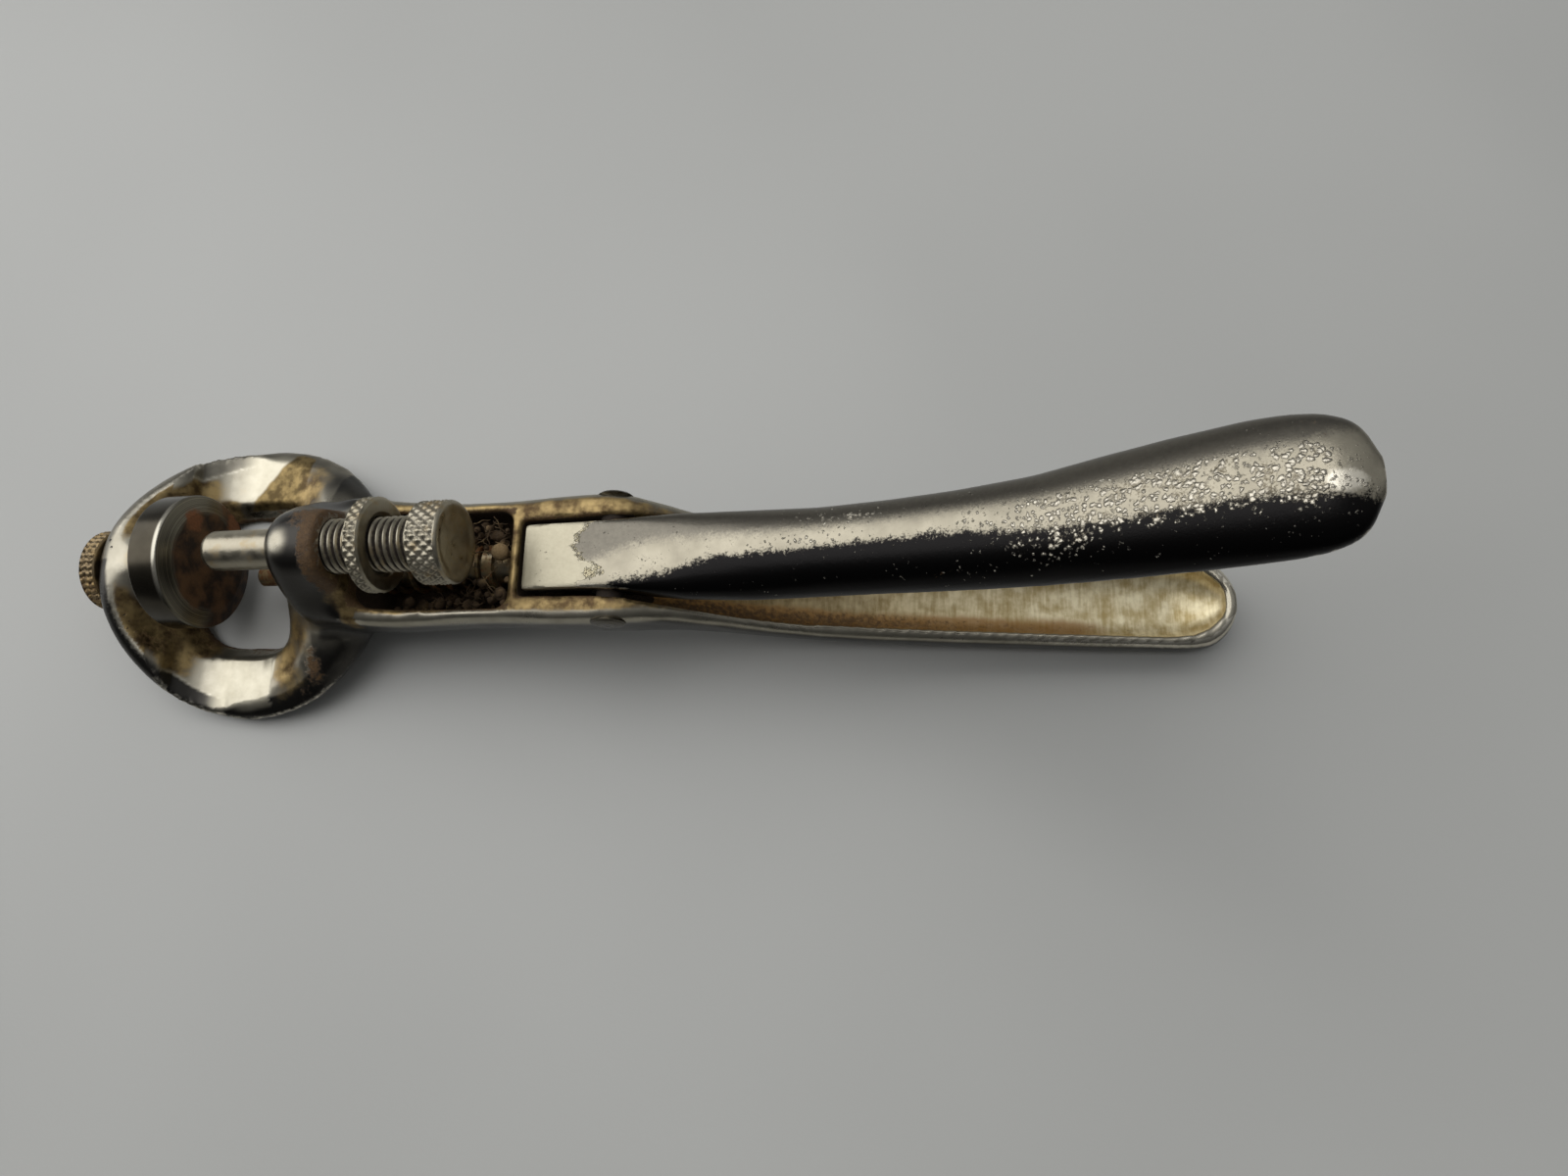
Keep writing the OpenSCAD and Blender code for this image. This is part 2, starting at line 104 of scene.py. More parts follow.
LEVER_HALF = {50.3: 4.75, 51.2: 4.9, 58: 4.9, 62: 5.05, 66: 5.4, 70: 5.85, 74: 6.2, 84: 6.45, 93: 6.3,
              103: 6.45, 112: 6.75, 122: 7.2, 130: 7.8, 138: 8.25, 146: 8.5, 150: 8.4, 153.3: 8, 156: 7,
              157.6: 5.5, 158.5: 3.4, 158.9: 1.2}
LEVER_EDGE = {50.3: -4.7, 58: -4.7, 62: -5, 67: -5.6, 74: -6.2, 84: -6.7, 93: -6.4, 103: -4.9, 112: -3.2,
              122: -0.3, 130: 3.8, 138: 7.8, 146: 11.6, 150: 13.1, 153.3: 14, 156: 14.6, 158.9: 15}
LEVER_TOP = {50.3: -3.3, 51.6: -2.85, 58: -2.7, 64: -2.6, 70: -2.6, 76: -2.6, 84: -2.3, 93: -1.5, 103: 0.2,
             112: 2.2, 122: 5.2, 130: 9, 138: 12.8, 146: 16.2, 150: 17.4, 153.3: 17.7, 156: 17.4,
             157.6: 16.8, 158.9: 15.9}
LEVER_SQUARE = {50: 16, 60: 14, 65: 7, 70: 4, 76: 2.8, 84: 2.3, 160: 2.2}
BOSS_DROP = {15.6: 4.1, 15.8: 3.1, 16.2: 2, 17: 1, 18.2: 0.3, 19.6: 0}
BOSS_SHARE = {15.6: 0.62, 15.8: 0.72, 16.2: 0.83, 17: 0.93, 18.2: 0.985, 19.6: 1}
BOSS_FRONT = {0: 0, 0.3: 1.6, 1: 3, 2: 4.2, 3.5: 5.5, 5.5: 7.3, 8.8: 9.2, 11: 10, 14: 10.4, 18: 10, 24: 8.4}
BOSS_REAR = {0: 0, 0.3: 2, 1.2: 3.8, 2.5: 4.8, 4.3: 5.3, 6: 5.5, 7.3: 5.8, 8.7: 6.6, 10.3: 7.6, 13.3: 8.3,
             18: 8.7, 24: 8}
# the hoop round its own middle: angle in degrees from the handle side, then the value
HOOP_OUT = {0: 1, 90: 1, 105: 0.992, 115: 0.97, 133: 0.92, 145: 0.89, 158: 0.855, 170: 0.83, 180: 0.824}
HOOP_TOP_OUT = {0: -4, 22: -5, 40: -6.8, 55: -9, 68: -10.1, 96: -10.05, 105: -7.4, 115: -4.3, 133: -1.2,
                145: 0.7, 158: 2.5, 170: 3.4, 180: 3.5}
HOOP_TOP_IN = {0: -4.4, 24: -5.6, 40: -7.6, 52: -9.4, 60: -10.2, 108: -10.2, 120: -9.4, 135: -6.8,
               147: -3.4, 158: 0.2, 168: 2.6, 180: 3.3}
HOOP_ROUND = {0: 5.6, 45: 5.2, 66: 4.2, 80: 3.4, 120: 3.3, 150: 3, 180: 2.6}
HOOP_FOOT = {0: -14.6, 60: -15.2, 90: -15.15, 110: -14, 130: -12.3, 150: -10.8, 180: -9.7}

# the boss's top, foot and front, the depths of its points below its top, and where each loft's sections stand
BOSS_TOP, BOSS_FOOT, BOSS_X = 10.3, -13.2, 15.6
BOSS_DEPTHS = (21.6, 19, 16.5, 14, 12.4, 11, 9.9, 8.8, 8, 7.2, 6.4, 5.6, 4.9, 4.2, 3.6, 3, 2.5, 2, 1.6, 1.2,
               0.9, 0.6, 0.4, 0.2)
BOSS_STATIONS = [15.6, 15.8, 16.1, 16.5, *np.arange(17, 25.4, 0.6), 25.4]
BODY_STATIONS = [14.2, *np.arange(15, 146, 1.2), 146.8, 147.7, 148.5, 149.3, 150, 150.6, 151.1, 151.5, 151.9,
                 152.2, 152.45, 152.65, 152.78]
CHANNEL_STATIONS = [49.2, *np.arange(50.4, 145, 1.5), 145.5, 146.5, 147.5, 148.3, 149, 149.6, 150.1, 150.5,
                    150.8, 150.98]
LEVER_STATIONS = [50.3, 50.5, 50.8, 51.2, *np.arange(52, 152, 1.0), 152.6, 153.6, 154.6, 155.5, 156.3, 157,
                  157.6, 158.1, 158.5, 158.75, 158.9]
HOLLOW_STATIONS = [79, 80.5, 82, *np.arange(83.5, 149, 1.5), 150.5, 153]

# outlines of the cutters: the flats for the saw from the side, first dipped and then cut, and the pocket
SEAT_DIP = [(-8.2, -6.6), (-6.4, -8.2), (-5, -9.15), (-3.8, -9.75), (-2.8, -10.05), (-1.8, -10.2),
            (-0.8, -10.25), (6.4, -10.25), (6.4, -2), (-8.6, -2)]
SEAT_FLAT = [(-0.8, -10.3), (6.4, -10.3), (6.4, -2), (-10, -2), (-6, -7.7), (-4.4, -9.2), (-2.8, -9.95),
             (-1.6, -10.2)]
POCKET_SECTION = [(4.3, -13), (4.3, -12.5), (8, -8.8), (8, 17), (-8, 17), (-8, -8.8), (-4.3, -12.5),
                  (-4.3, -13)]

# where the stains, the spots of painted shade and the painted highlights sit: x, y, z, size along x, y and z,
# strength
GOLD_SPOTS = [
    (-9.2, 3, 3, 2.0, 7, 2.5, 1.0), (-9, -8, 0, 2.5, 4, 4, 0.9), (9.3, 14.5, -9, 3.2, 6, 3, 1.0),
    (9.3, -14.5, -9, 3.2, 6, 3, 1.0), (12, -9.5, -8, 3.5, 4, 4, 0.85), (-1, -14, -10, 2.2, 4, 2, 0.8),
    (-2, 15, -10, 2.2, 4, 2, 0.55),
]
RUST_SPOTS = [
    (-8.5, 0, -4, 1.6, 12, 7, 0.8), (14.5, -15, -8.5, 1.6, 4.4, 3, 0.8), (12.3, -18.5, -9, 1.8, 2.2, 3, 0.62),
    (22.3, 3.5, 8.6, 2.6, 3.2, 2.4, 0.72), (24.2, 5.2, 6, 1.6, 1.6, 3, 0.66), (9, 0, -9, 3, 10, 6, 0.8),
]
PAINTED_SHADE_SPOTS = [
    (19.5, -8, -1, 4.5, 5, 7, 1.0), (20, 9, 1, 5, 4, 5, 0.7), (16, 0, -4, 2, 9, 5, 0.85),
    (15, 17.5, -8, 5, 6, 5, 0.8), (20, 14, -7, 5, 5, 5, 0.8), (16, -16.5, -8, 4.5, 5, 4, 0.8),
    (20, -14, -8, 5, 5, 4, 0.85), (-15.5, -6, 2, 3, 4, 4, 0.6),
]
PIT_SPOTS = [
    (-14.5, 2.5, 3, 1.6, 3.2, 2, 0.62), (-14, -5, 2, 2.4, 4, 3, 0.5), (-12, -10, 0, 3, 4, 3, 0.5),
]
BOSS_GLINT, BOSS_STAIN = (19.4, -0.5, 9.8, 1.7, 1.8, 2, 1.0), (24.2, -7.2, 2.5, 1.7, 2, 5, 0.95)
PEEL_SPOTS = [
    (126, -3, 6, 12, 2.2, 5, 0.55), (92, 0.5, -1.5, 8, 1.2, 3, 0.42), (148, 0, 17, 8, 4, 4, 0.66),
    (97, 3.5, -1, 7, 1.6, 3, 0.42),
]
LEVER_RUST = [(110, -5.5, 1, 8, 1.6, 4, 0.42), (152, 6, 16, 4, 3, 4, 0.4)]
TIP_GLINT, FLAKE_CORNER = (154.6, -0.9, 17.3, 2.9, 1.7, 3, 1.0), (60.8, -2.9, -2.6, 1.5, 1.2, 3, 0.74)
PALE_LUMP = (46, 1.2, -4.4)  # the one large pale lump of lint
# the x where the plate on the lever's front ends, for each y, and the y where the painted shade of its near
# side and the painted grey shade of its far side begin, for each x
FLAKE_EDGE = {-4.9: 58.6, -4.1: 59.4, -3.4: 61.7, -2.6: 62.3, -1.8: 61.9, -1.1: 59.9, 0: 58.5, 1.2: 58.0,
              2.2: 58.2, 3.2: 58.8, 4.2: 59.8, 5.3: 61}
NEAR_SHADE_LINE = {58: -4.9, 69.5: -3.6, 78.2: -1.5, 91.4: -0.7, 111.9: -0.5, 121: -1.5, 132: -1.9, 145: -1.9,
             159: -3}
FAR_SHADE_LINE = {60: -1.5, 66: 0.6, 70: 1.6, 78: 1.8, 92: 2.1, 112: 2.7, 135: 2.8, 150: 3.6, 159: 6}


def read(table, at):
    """A table's values at one place or many, on straight lines between its rows."""
    return np.interp(at, list(table), list(table.values()))


def curve(table, at, spread=0.0):
    """A table's value at a place, softened over the spread."""
    steps = np.linspace(-1.5, 1.5, 7) * spread
    return float(read(table, at + steps) @ np.array([1, 2, 3, 4, 3, 2, 1]) / 16)


def ease(value, low, high):
    """Smooth step from 0 at low to 1 at high, for numbers and arrays."""
    t = np.clip((value - low) / (high - low), 0, 1)
    return t * t * (3 - 2 * t)


def most(*masks):
    """The strongest of several masks at each point."""
    return np.maximum.reduce(masks)


# ---------------------------------------------------------------- modelling helpers


def lofted(name, rings, ring=False):
    """An object bridged through closed loops that have the same number of points, with its ends capped.
    A ring has no ends: its last loop joins the first."""
    bm = bmesh.new()
    loops = []
    for points in rings:
        verts = [bm.verts.new(p) for p in points]
        loops.append([bm.edges.new((verts[i - 1], verts[i])) for i in range(len(verts))])
    for i in range(len(loops) - (0 if ring else 1)):
        bmesh.ops.bridge_loops(bm, edges=loops[i] + loops[(i + 1) % len(loops)])
    if not ring:
        for end in (loops[0], loops[-1]):
            bmesh.ops.edgeloop_fill(bm, edges=end)
    bmesh.ops.recalc_face_normals(bm, faces=bm.faces)
    return made_object(bm, name)


def mirrored(half, x):
    """A closed section in the upright plane at x, from its right half listed bottom to top."""
    return [(x, y, z) for y, z in half] + [(x, -y, z) for y, z in reversed(half) if y > 1e-3]


def arc(width, middle, height, power, first, last, count):
    """Part of a rounded-square arc, as (y, z) pairs, from one angle to another in degrees."""
    out = []
    for t in np.radians(np.linspace(first, last, count)):
        c, s = max(math.cos(t), 0) ** (2 / power), max(math.sin(t), 0) ** (2 / power)
        out.append((width * c, middle + height * s))
    return out


def soften(profile, radius, steps=4):
    """Rounds the corners of an open profile of (radius, x) points."""
    out = [profile[0]]
    for a, b, c in zip(profile, profile[1:], profile[2:]):
        a, b, c = Vector(a), Vector(b), Vector(c)
        r = min(radius, (a - b).length * 0.45, (c - b).length * 0.45)
        p, q = b + (a - b).normalized() * r, b + (c - b).normalized() * r
        for k in range(steps + 1):
            t = k / steps
            out.append(tuple(p * (1 - t) ** 2 + b * 2 * t * (1 - t) + q * t * t))
    return out + [profile[-1]]


def made_object(bm, name):
    """Turns a bmesh into a linked object in the tool's own axes."""
    mesh = bpy.data.meshes.new(name)
    bm.to_mesh(mesh)
    bm.free()
    piece = bpy.data.objects.new(name, mesh)
    bpy.context.scene.collection.objects.link(piece)
    return piece


def turned(name, profile, steps=96, fine=None, relief=None, centre=0.0):
    """An object spun from a profile of (radius, x) points round a line along x at height centre.
    fine is the longest run left between points, and relief(x, angle, radius) is added to the radius."""
    points = [profile[0]]
    for a, b in zip(profile, profile[1:]):
        parts = 1 if fine is None else max(1, math.ceil(math.dist(a, b) / fine))
        points += [tuple(np.array(a) + (np.array(b) - np.array(a)) * k / parts) for k in range(1, parts + 1)]
    bm = bmesh.new()
    groove = bm.verts.layers.float.new("groove")
    verts = [bm.verts.new((x, 0, r)) for r, x in points]
    edges = [bm.edges.new(pair) for pair in zip(verts, verts[1:])]
    bmesh.ops.spin(bm, geom=verts + edges, cent=(0, 0, 0), axis=(1, 0, 0), angle=2 * math.pi, steps=steps,
                   use_merge=True)
    bmesh.ops.remove_doubles(bm, verts=bm.verts, dist=1e-4)
    bmesh.ops.recalc_face_normals(bm, faces=bm.faces)
    for v in bm.verts:
        r = math.hypot(v.co.y, v.co.z)
        if relief and r > 1e-6:
            deep = -relief(v.co.x, math.atan2(v.co.z, v.co.y), r)
            v[groove] = min(deep / GROOVE_FULL, 1)
            v.co.y, v.co.z = v.co.y * (1 - deep / r), v.co.z * (1 - deep / r)
        v.co.z += centre
    return made_object(bm, name)


def bar_tool(name, x0, x1, radius, z=0.0):
    """A closed round bar along the tool."""
    return turned(name, [(0, x0), (radius, x0), (radius, x1), (0, x1)], centre=z)


def cross_tool(name, x, z, radius, half):
    """A closed round bar across the tool."""
    tool = bar_tool(name, -half, half, radius)
    tool.data.transform(Matrix.Translation((x, 0, z)) @ Matrix.Rotation(math.pi / 2, 4, "Z"))
    return tool


def box_tool(name, low, high, radius=0.0):
    """A box, its upright edges rounded by the radius if there is one."""
    low, high = Vector(low), Vector(high)
    place = Matrix.Translation((low + high) / 2) @ Matrix.Diagonal((*(high - low), 1))
    bm = bmesh.new()
    bmesh.ops.create_cube(bm, size=1, matrix=place)
    if radius:
        upright = [e for e in bm.edges if abs(e.verts[0].co.z - e.verts[1].co.z) > 1e-3]
        bmesh.ops.bevel(bm, geom=upright, offset=radius, segments=8, profile=0.5, affect="EDGES", material=-1)
    return made_object(bm, name)


def plate_tool(name, outline, sides):
    """A flat outline of (x, z) points made into a plate across the tool, between two places in y."""
    bm = bmesh.new()
    face = bm.faces.new([bm.verts.new((x, sides[0], z)) for x, z in outline])
    made = bmesh.ops.extrude_face_region(bm, geom=[face])
    moved = [v for v in made["geom"] if isinstance(v, bmesh.types.BMVert)]
    bmesh.ops.translate(bm, vec=(0, sides[1] - sides[0], 0), verts=moved)
    bmesh.ops.recalc_face_normals(bm, faces=bm.faces)
    return made_object(bm, name)


def across_tool(name, outline, ends):
    """A flat outline of (y, z) points made into a bar along the tool, between two places in x."""
    tool = plate_tool(name, outline, ends)
    tool.data.transform(Matrix.Rotation(-math.pi / 2, 4, "Z"))
    return tool


def baked(piece):
    """Applies a piece's modifiers by keeping its evaluated mesh."""
    deps = bpy.context.evaluated_depsgraph_get()
    mesh = bpy.data.meshes.new_from_object(piece.evaluated_get(deps))
    piece.modifiers.clear()
    piece.data = mesh


def carve(piece, tools, operation="DIFFERENCE"):
    """Cuts, or joins, a list of closed tools with a piece, one after the other."""
    for tool in tools:
        cut = piece.modifiers.new(tool.name, "BOOLEAN")
        cut.operation, cut.solver, cut.object = operation, "EXACT", tool
        cut.use_self = operation == "UNION"
    baked(piece)
    for tool in tools:
        bpy.data.objects.remove(tool)


def remeshed(piece, size):
    """Voxel remesh of a piece, which also fuses its overlapping shells."""
    remesh = piece.modifiers.new("even skin", "REMESH")
    remesh.mode, remesh.voxel_size = "VOXEL", size
    baked(piece)


def cast_fillets(piece, radius, size):
    """Fills the creases between fused shells: the skin is grown, fused, and drawn back again."""
    for grow in (radius, -radius):
        skin = Skin(piece.data)
        skin.at = skin.at + skin.normals() * grow
        skin.smooth(3, 0.8)
        remeshed(piece, size)


class Skin:
    """A mesh's points and links, for smoothing it, reading its bends and painting on it."""

    def __init__(self, mesh):
        self.mesh = mesh
        self.at = np.empty(len(mesh.vertices) * 3)
        mesh.vertices.foreach_get("co", self.at)
        self.at = self.at.reshape(-1, 3)
        links = np.empty(len(mesh.edges) * 2, int)
        mesh.edges.foreach_get("vertices", links)
        links = links.reshape(-1, 2)
        self.a = np.concatenate([links[:, 0], links[:, 1]])
        self.b = np.concatenate([links[:, 1], links[:, 0]])
        self.count = np.maximum(np.bincount(self.a, minlength=len(self.at)), 1)

    def mean(self, values):
        """Average of each point's neighbours."""
        values = values.reshape(len(self.at), -1)
        columns = [np.bincount(self.a, weights=values[self.b, k], minlength=len(self.at)) / self.count
                   for k in range(values.shape[1])]
        return np.stack(columns, 1)

    def normals(self):
        """Unit normals of the points."""
        out = np.empty(len(self.at) * 3)
        self.mesh.vertex_normals.foreach_get("vector", out)
        return out.reshape(-1, 3)

    def bend(self, rounds):
        """How far each point stands out of its smoothed neighbourhood: positive on edges."""
        flat = self.at.copy()
        for _ in range(rounds):
            flat = flat + 0.6 * (self.mean(flat) - flat)
        return np.einsum("ij,ij->i", self.at - flat, self.normals())

    def spread(self, values, rounds):
        """Softens painted values over the neighbouring points."""
        for _ in range(rounds):
            values = 0.5 * values + 0.5 * self.mean(values)[:, 0]
        return values

    def smooth(self, rounds, weight):
        """Evens the surface, and undoes the shrinking after each round."""
        weight = np.broadcast_to(np.asarray(weight, float), (len(self.at),))[:, None]
        for _ in range(rounds):
            self.at = self.at + 0.5 * weight * (self.mean(self.at) - self.at)
            self.at = self.at - 0.52 * weight * (self.mean(self.at) - self.at)
        self.mesh.vertices.foreach_set("co", self.at.ravel())
        self.mesh.update()

    def paint(self, **masks):
        """Stores one number a point under each name, which a material reads by that name."""
        for name, values in masks.items():
            layer = self.mesh.attributes.new(name, "FLOAT", "POINT")
            layer.data.foreach_set("value", np.clip(values, 0, 1).astype(np.float32))

    def spots(self, *places):
        """Soft round spots of (x, y, z, size along x, y and z, strength) over the points."""
        total = np.zeros(len(self.at))
        for x, y, z, a, b, c, strength in places:
            d = (self.at - np.array([x, y, z])) / np.array([a, b, c])
            total = np.maximum(total, strength * np.exp(-np.einsum("ij,ij->i", d, d)))
        return total


def seat(piece, body, slot, material, sharp, *replaces):
    """Puts a finished piece into the frame: place, shading, finish, body and what it stands for.
    sharp is the angle in degrees from which an edge shows as crisp."""
    piece.data.transform(TOOL)
    piece.data.shade_smooth()
    piece.data.set_sharp_from_angle(angle=math.radians(sharp))
    piece.data.materials.clear()
    piece.data.materials.append(material)
    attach(piece, body)
    if replaces:
        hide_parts(*replaces)


# ---------------------------------------------------------------- materials


STEP, PLUS, TIMES, TIMES_PLUS = "MapRange SMOOTHSTEP", "Math ADD", "Math MULTIPLY", "Math MULTIPLY_ADD"
MODES = {"Math": "operation", "VectorMath": "operation", "MapRange": "interpolation_type", "Mix": "data_type",
         "Attribute": "attribute_name"}


def linear(colour):
    """An sRGB hex colour such as #8f8d86 as linear red, green, blue and alpha."""
    parts = [int(colour[k:k + 2], 16) / 255 for k in (1, 3, 5)]
    return tuple(c / 12.92 if c <= 0.04045 else ((c + 0.055) / 1.055) ** 2.4 for c in parts) + (1.0,)


def add(tree, kind, *inputs, out=0, **named):
    """Adds one node, fills or links its inputs, and returns one output. The word after its kind is its mode.
    An input is a socket, a value or an sRGB hex colour, in order or by name; None leaves it as it is."""
    kind, _, mode = kind.partition(" ")
    made = tree.nodes.new("ShaderNode" + kind)
    if mode:
        setattr(made, MODES[kind], mode)
    for key, value in [*enumerate(inputs), *named.items()]:
        if isinstance(value, bpy.types.NodeSocket):
            tree.links.new(value, made.inputs[key])
        elif value is not None:
            made.inputs[key].default_value = linear(value) if isinstance(value, str) else value
    return made.outputs[out] if made.outputs else None


def finish(name, *grains):
    """Starts a material: it, a way to add its nodes, places in millimetres along the tool's own axes, and a
    cloudy pattern from 0 to 1 for each grain of (size in millimetres, detail, its own roughness or none)."""
    material = bpy.data.materials.new(name)
    material.use_nodes = True
    material.node_tree.nodes.clear()
    node = partial(add, material.node_tree)
    shift = -(TURN.inverted() @ ORIGIN) * MM
    at = node("Mapping", node("TexCoord", out="Object"), shift, (0, TILT, 0), (MM, MM, MM))
    clouds = [node("TexNoise", at, Scale=1 / size, Detail=detail, Roughness=(*rough, GRAIN_ROUGH)[0])
              for size, detail, *rough in grains]
    return material, node, at, *clouds


def broken(node, amount, pattern, low, high, bite=1.0):
    """An amount from 0 to 1, or the mask painted under that name, with its edge broken up by a pattern."""
    if isinstance(amount, str):
        amount = node("Attribute " + amount, out="Fac")
    return node(STEP, node(TIMES_PLUS, node("Math SUBTRACT", pattern, 0.5), bite, amount), low, high)


def within(node, first, *others):
    """How far inside every edge a place lies; an edge is (value, where it is 0, where it is 1)."""
    inside = node(STEP, *first)
    for edge in others:
        inside = node(TIMES, inside, node(STEP, *edge))
    return inside


def tint(node, colour):
    """A coat's colour: one colour, or (pattern, colour at 0, colour at 1), which may hold more of these."""
    if not isinstance(colour, tuple):
        return colour
    mask, low, high = colour
    return node("Mix RGBA", mask, *[None] * 5, tint(node, low), tint(node, high), out=2)


def coated(material, node, coats, relief):
    """Finishes a material. coats are (mask, colour, metallic, roughness), the first with no mask, and relief
    is (pattern, height in millimetres)."""
    _, colour, metal, rough = coats[0]
    colour = tint(node, colour)
    for mask, over, *values in coats[1:]:
        colour = tint(node, (mask, colour, over))
        # a value that the coat leaves as it was needs no node, and stays on the shader's own socket
        metal, rough = (below if below == above else node("Mix FLOAT", mask, None, below, above)
                        for below, above in zip((metal, rough), values))
    height = 0.0
    for pattern, tall in relief:
        height = node(TIMES_PLUS, pattern, tall, height)
    bump = node("Bump", Strength=1.0, Distance=1 / MM, Height=height)
    node("OutputMaterial", node("BsdfPrincipled", colour, metal, rough, Normal=bump))
    return material


def plated_casting(look):
    """Nickel plate on cast iron, worn by hands and a bench: soft grey gloss, yellow stains, rusty corners,
    and painted shade where the plate should look dark.
    """
    material, node, at, wide, mid, fine, grit = finish(
        "worn nickel plated casting", (7, 4), (2.2, 4), (0.7, 3), (0.25, 2))
    x, y, z = node("SeparateXYZ", at).node.outputs
    dark, gold, rust, crust, wear, pits = (broken(node, *mask) for mask in (
        ("dark", wide, 0.2, 0.85, 0.4), ("gold", mid, 0.2, 0.85, 0.8), ("rust", fine, 0.3, 0.72, 0.9),
        ("crust", fine, 0.3, 0.55, 0.5), ("edge", fine, 0.3, 0.8, 0.6), ("pits", fine, 0.66, 0.74, 1.6)))
    # the hollow of the handle is pale gold, paler toward the tip, with fine lines across it and an amber side
    stretched = node("VectorMath MULTIPLY", at, (1.0, 0.12, 0.12))
    lines = node("TexNoise", stretched, Scale=1 / 0.5, Detail=3, Roughness=GRAIN_ROUGH)
    grain = node(STEP, node(TIMES_PLUS, lines, 0.35, node(TIMES, mid, 0.65)), 0.3, 0.7)
    amber = node(TIMES, broken(node, within(node, (y, -0.8, -4.4), (x, 142, 124)), mid, 0.3, 0.9, 0.9), 0.8)
    gilt = (node(STEP, x, 62, 138), (grain, "#5d4928", "#9c8450"), (grain, "#b09b69", "#f4e9c6"))
    channel = node(STEP, node("Attribute channel", out="Fac"), 0.4, 0.6)
    # a slanting line ends the bright part of the far flat, and yellow stain covers the rest
    past = node(TIMES_PLUS, y, -0.77, node(PLUS, x, 11.55))
    stained = within(node, (past, -1.2, 1.6), (x, 9, 7.6), (y, 9.8, 10.6), (z, -8.4, -9.2), (z, -12, -11))
    stained = broken(node, stained, mid, 0.3, 0.75, 0.9)
    return coated(material, node, [
        (None, (mid, look.plate_dark, look.plate_light), 1.0,
         node(TIMES_PLUS, grit, 0.1, node(STEP, wide, 0.3, 0.7, 0.2, 0.34))),
        # painted shade: a dark metal coat where the plate should look dark
        (dark, look.painted_plate_shade, 1.0, 0.3),
        (wear, look.bare_edge_and_glint, 1.0, 0.24),
        (node("Attribute flat", out="Fac"), (mid, "#a39c88", "#d2ccba"), 1.0, 0.34),
        (stained, (node(STEP, mid, 0.35, 0.65), "#53452b", "#8f7b52"), 0.9, 0.42),
        (gold, (node(STEP, mid, 0.3, 0.7), "#4b3a25", "#a08a5e"), 0.85,
         node(STEP, fine, 0.3, 0.7, 0.36, 0.52)),
        (channel, (amber, gilt, "#946a33"), 0.62, 0.42),
        (rust, (fine, "#271c11", "#6f5332"), 0.25, 0.7),
        (crust, (grit, "#120d08", "#4a3720"), 0.0, 0.92),
        (pits, "#2b2722", 0.4, 0.6),
    ], [(mid, 0.02), (grit, 0.006), (node(TIMES, node(PLUS, crust, rust), grit), 0.1),
        (node(TIMES, channel, lines), 0.012), (pits, -0.08)])


def lever_plate(look):
    """Nickel plate flaked off a lever: cream plate in front, sparkling peel behind, near-black painted shade
    on the near and lower sides, painted grey shade on the far side and a painted highlight at the tip.
    """
    material, node, at, wide, mid, fine, grit = finish(
        "flaked nickel plated lever", (9, 4), (2.4, 5), (0.8, 4, 0.7), (0.3, 3, 0.7))
    crisp = node(PLUS, grit, fine)
    # peeled plate stands in beads 0.74 mm apart, which a noise of 1.1 mm pushes out of their even spacing
    warped = node("VectorMath ADD", at, node("TexNoise", at, Scale=0.9, out="Color"))
    beads = node(STEP, node("TexVoronoi", warped, Scale=1.35), 0.7, 0.1)
    clumps = node(TIMES_PLUS, beads, 0.2, node(TIMES, node(PLUS, grit, mid), 0.4))
    black, grey, patch, crumbs, peel, wear, spots = (broken(node, *mask) for mask in (
        ("dark", node(PLUS, crisp, mid), 0.95, 1.3, 0.8), ("grey", crisp, 0.5, 1.25, 0.8),
        ("patch", crisp, 0.98, 1.03, 0.9), ("flake", node(TIMES, crisp, 0.5), 0.46, 0.6, 1.5),
        ("peel", clumps, 0.36, 0.66, 2.4), ("edge", fine, 0.4, 0.8, 0.6), ("rust", fine, 0.5, 0.7, 1.4)))
    return coated(material, node, [
        (None, (mid, "#817b6d", "#aea795"), 1.0, node(STEP, wide, 0.3, 0.7, 0.26, 0.4)),
        # painted grey shade on the lever's far side
        (grey, (fine, "#5b5750", "#7b766b"), 1.0, 0.33),
        # near-black painted shade on the lever's near and lower sides
        (black, look.painted_lever_shade, 1.0, 0.3),
        # worn bright edges, and the painted highlight at the tip
        (wear, look.bare_edge_and_glint, 1.0, 0.25),
        (patch, (fine, "#a09985", "#bcb59f"), 0.85, 0.42),
        (peel, (node(TIMES, beads, grit), "#5d5648", "#f0e9d8"), 0.95, 0.3),
        (crumbs, (node(STEP, grit, 0.36, 0.6), "#4d3e29", "#e2d7b4"), 0.4, 0.6),
        (spots, (grit, "#33261a", "#7d5c34"), 0.2, 0.7),
    ], [(mid, 0.012), (grit, 0.012), (patch, 0.06), (node(TIMES, peel, beads), 0.1), (crumbs, 0.08)])


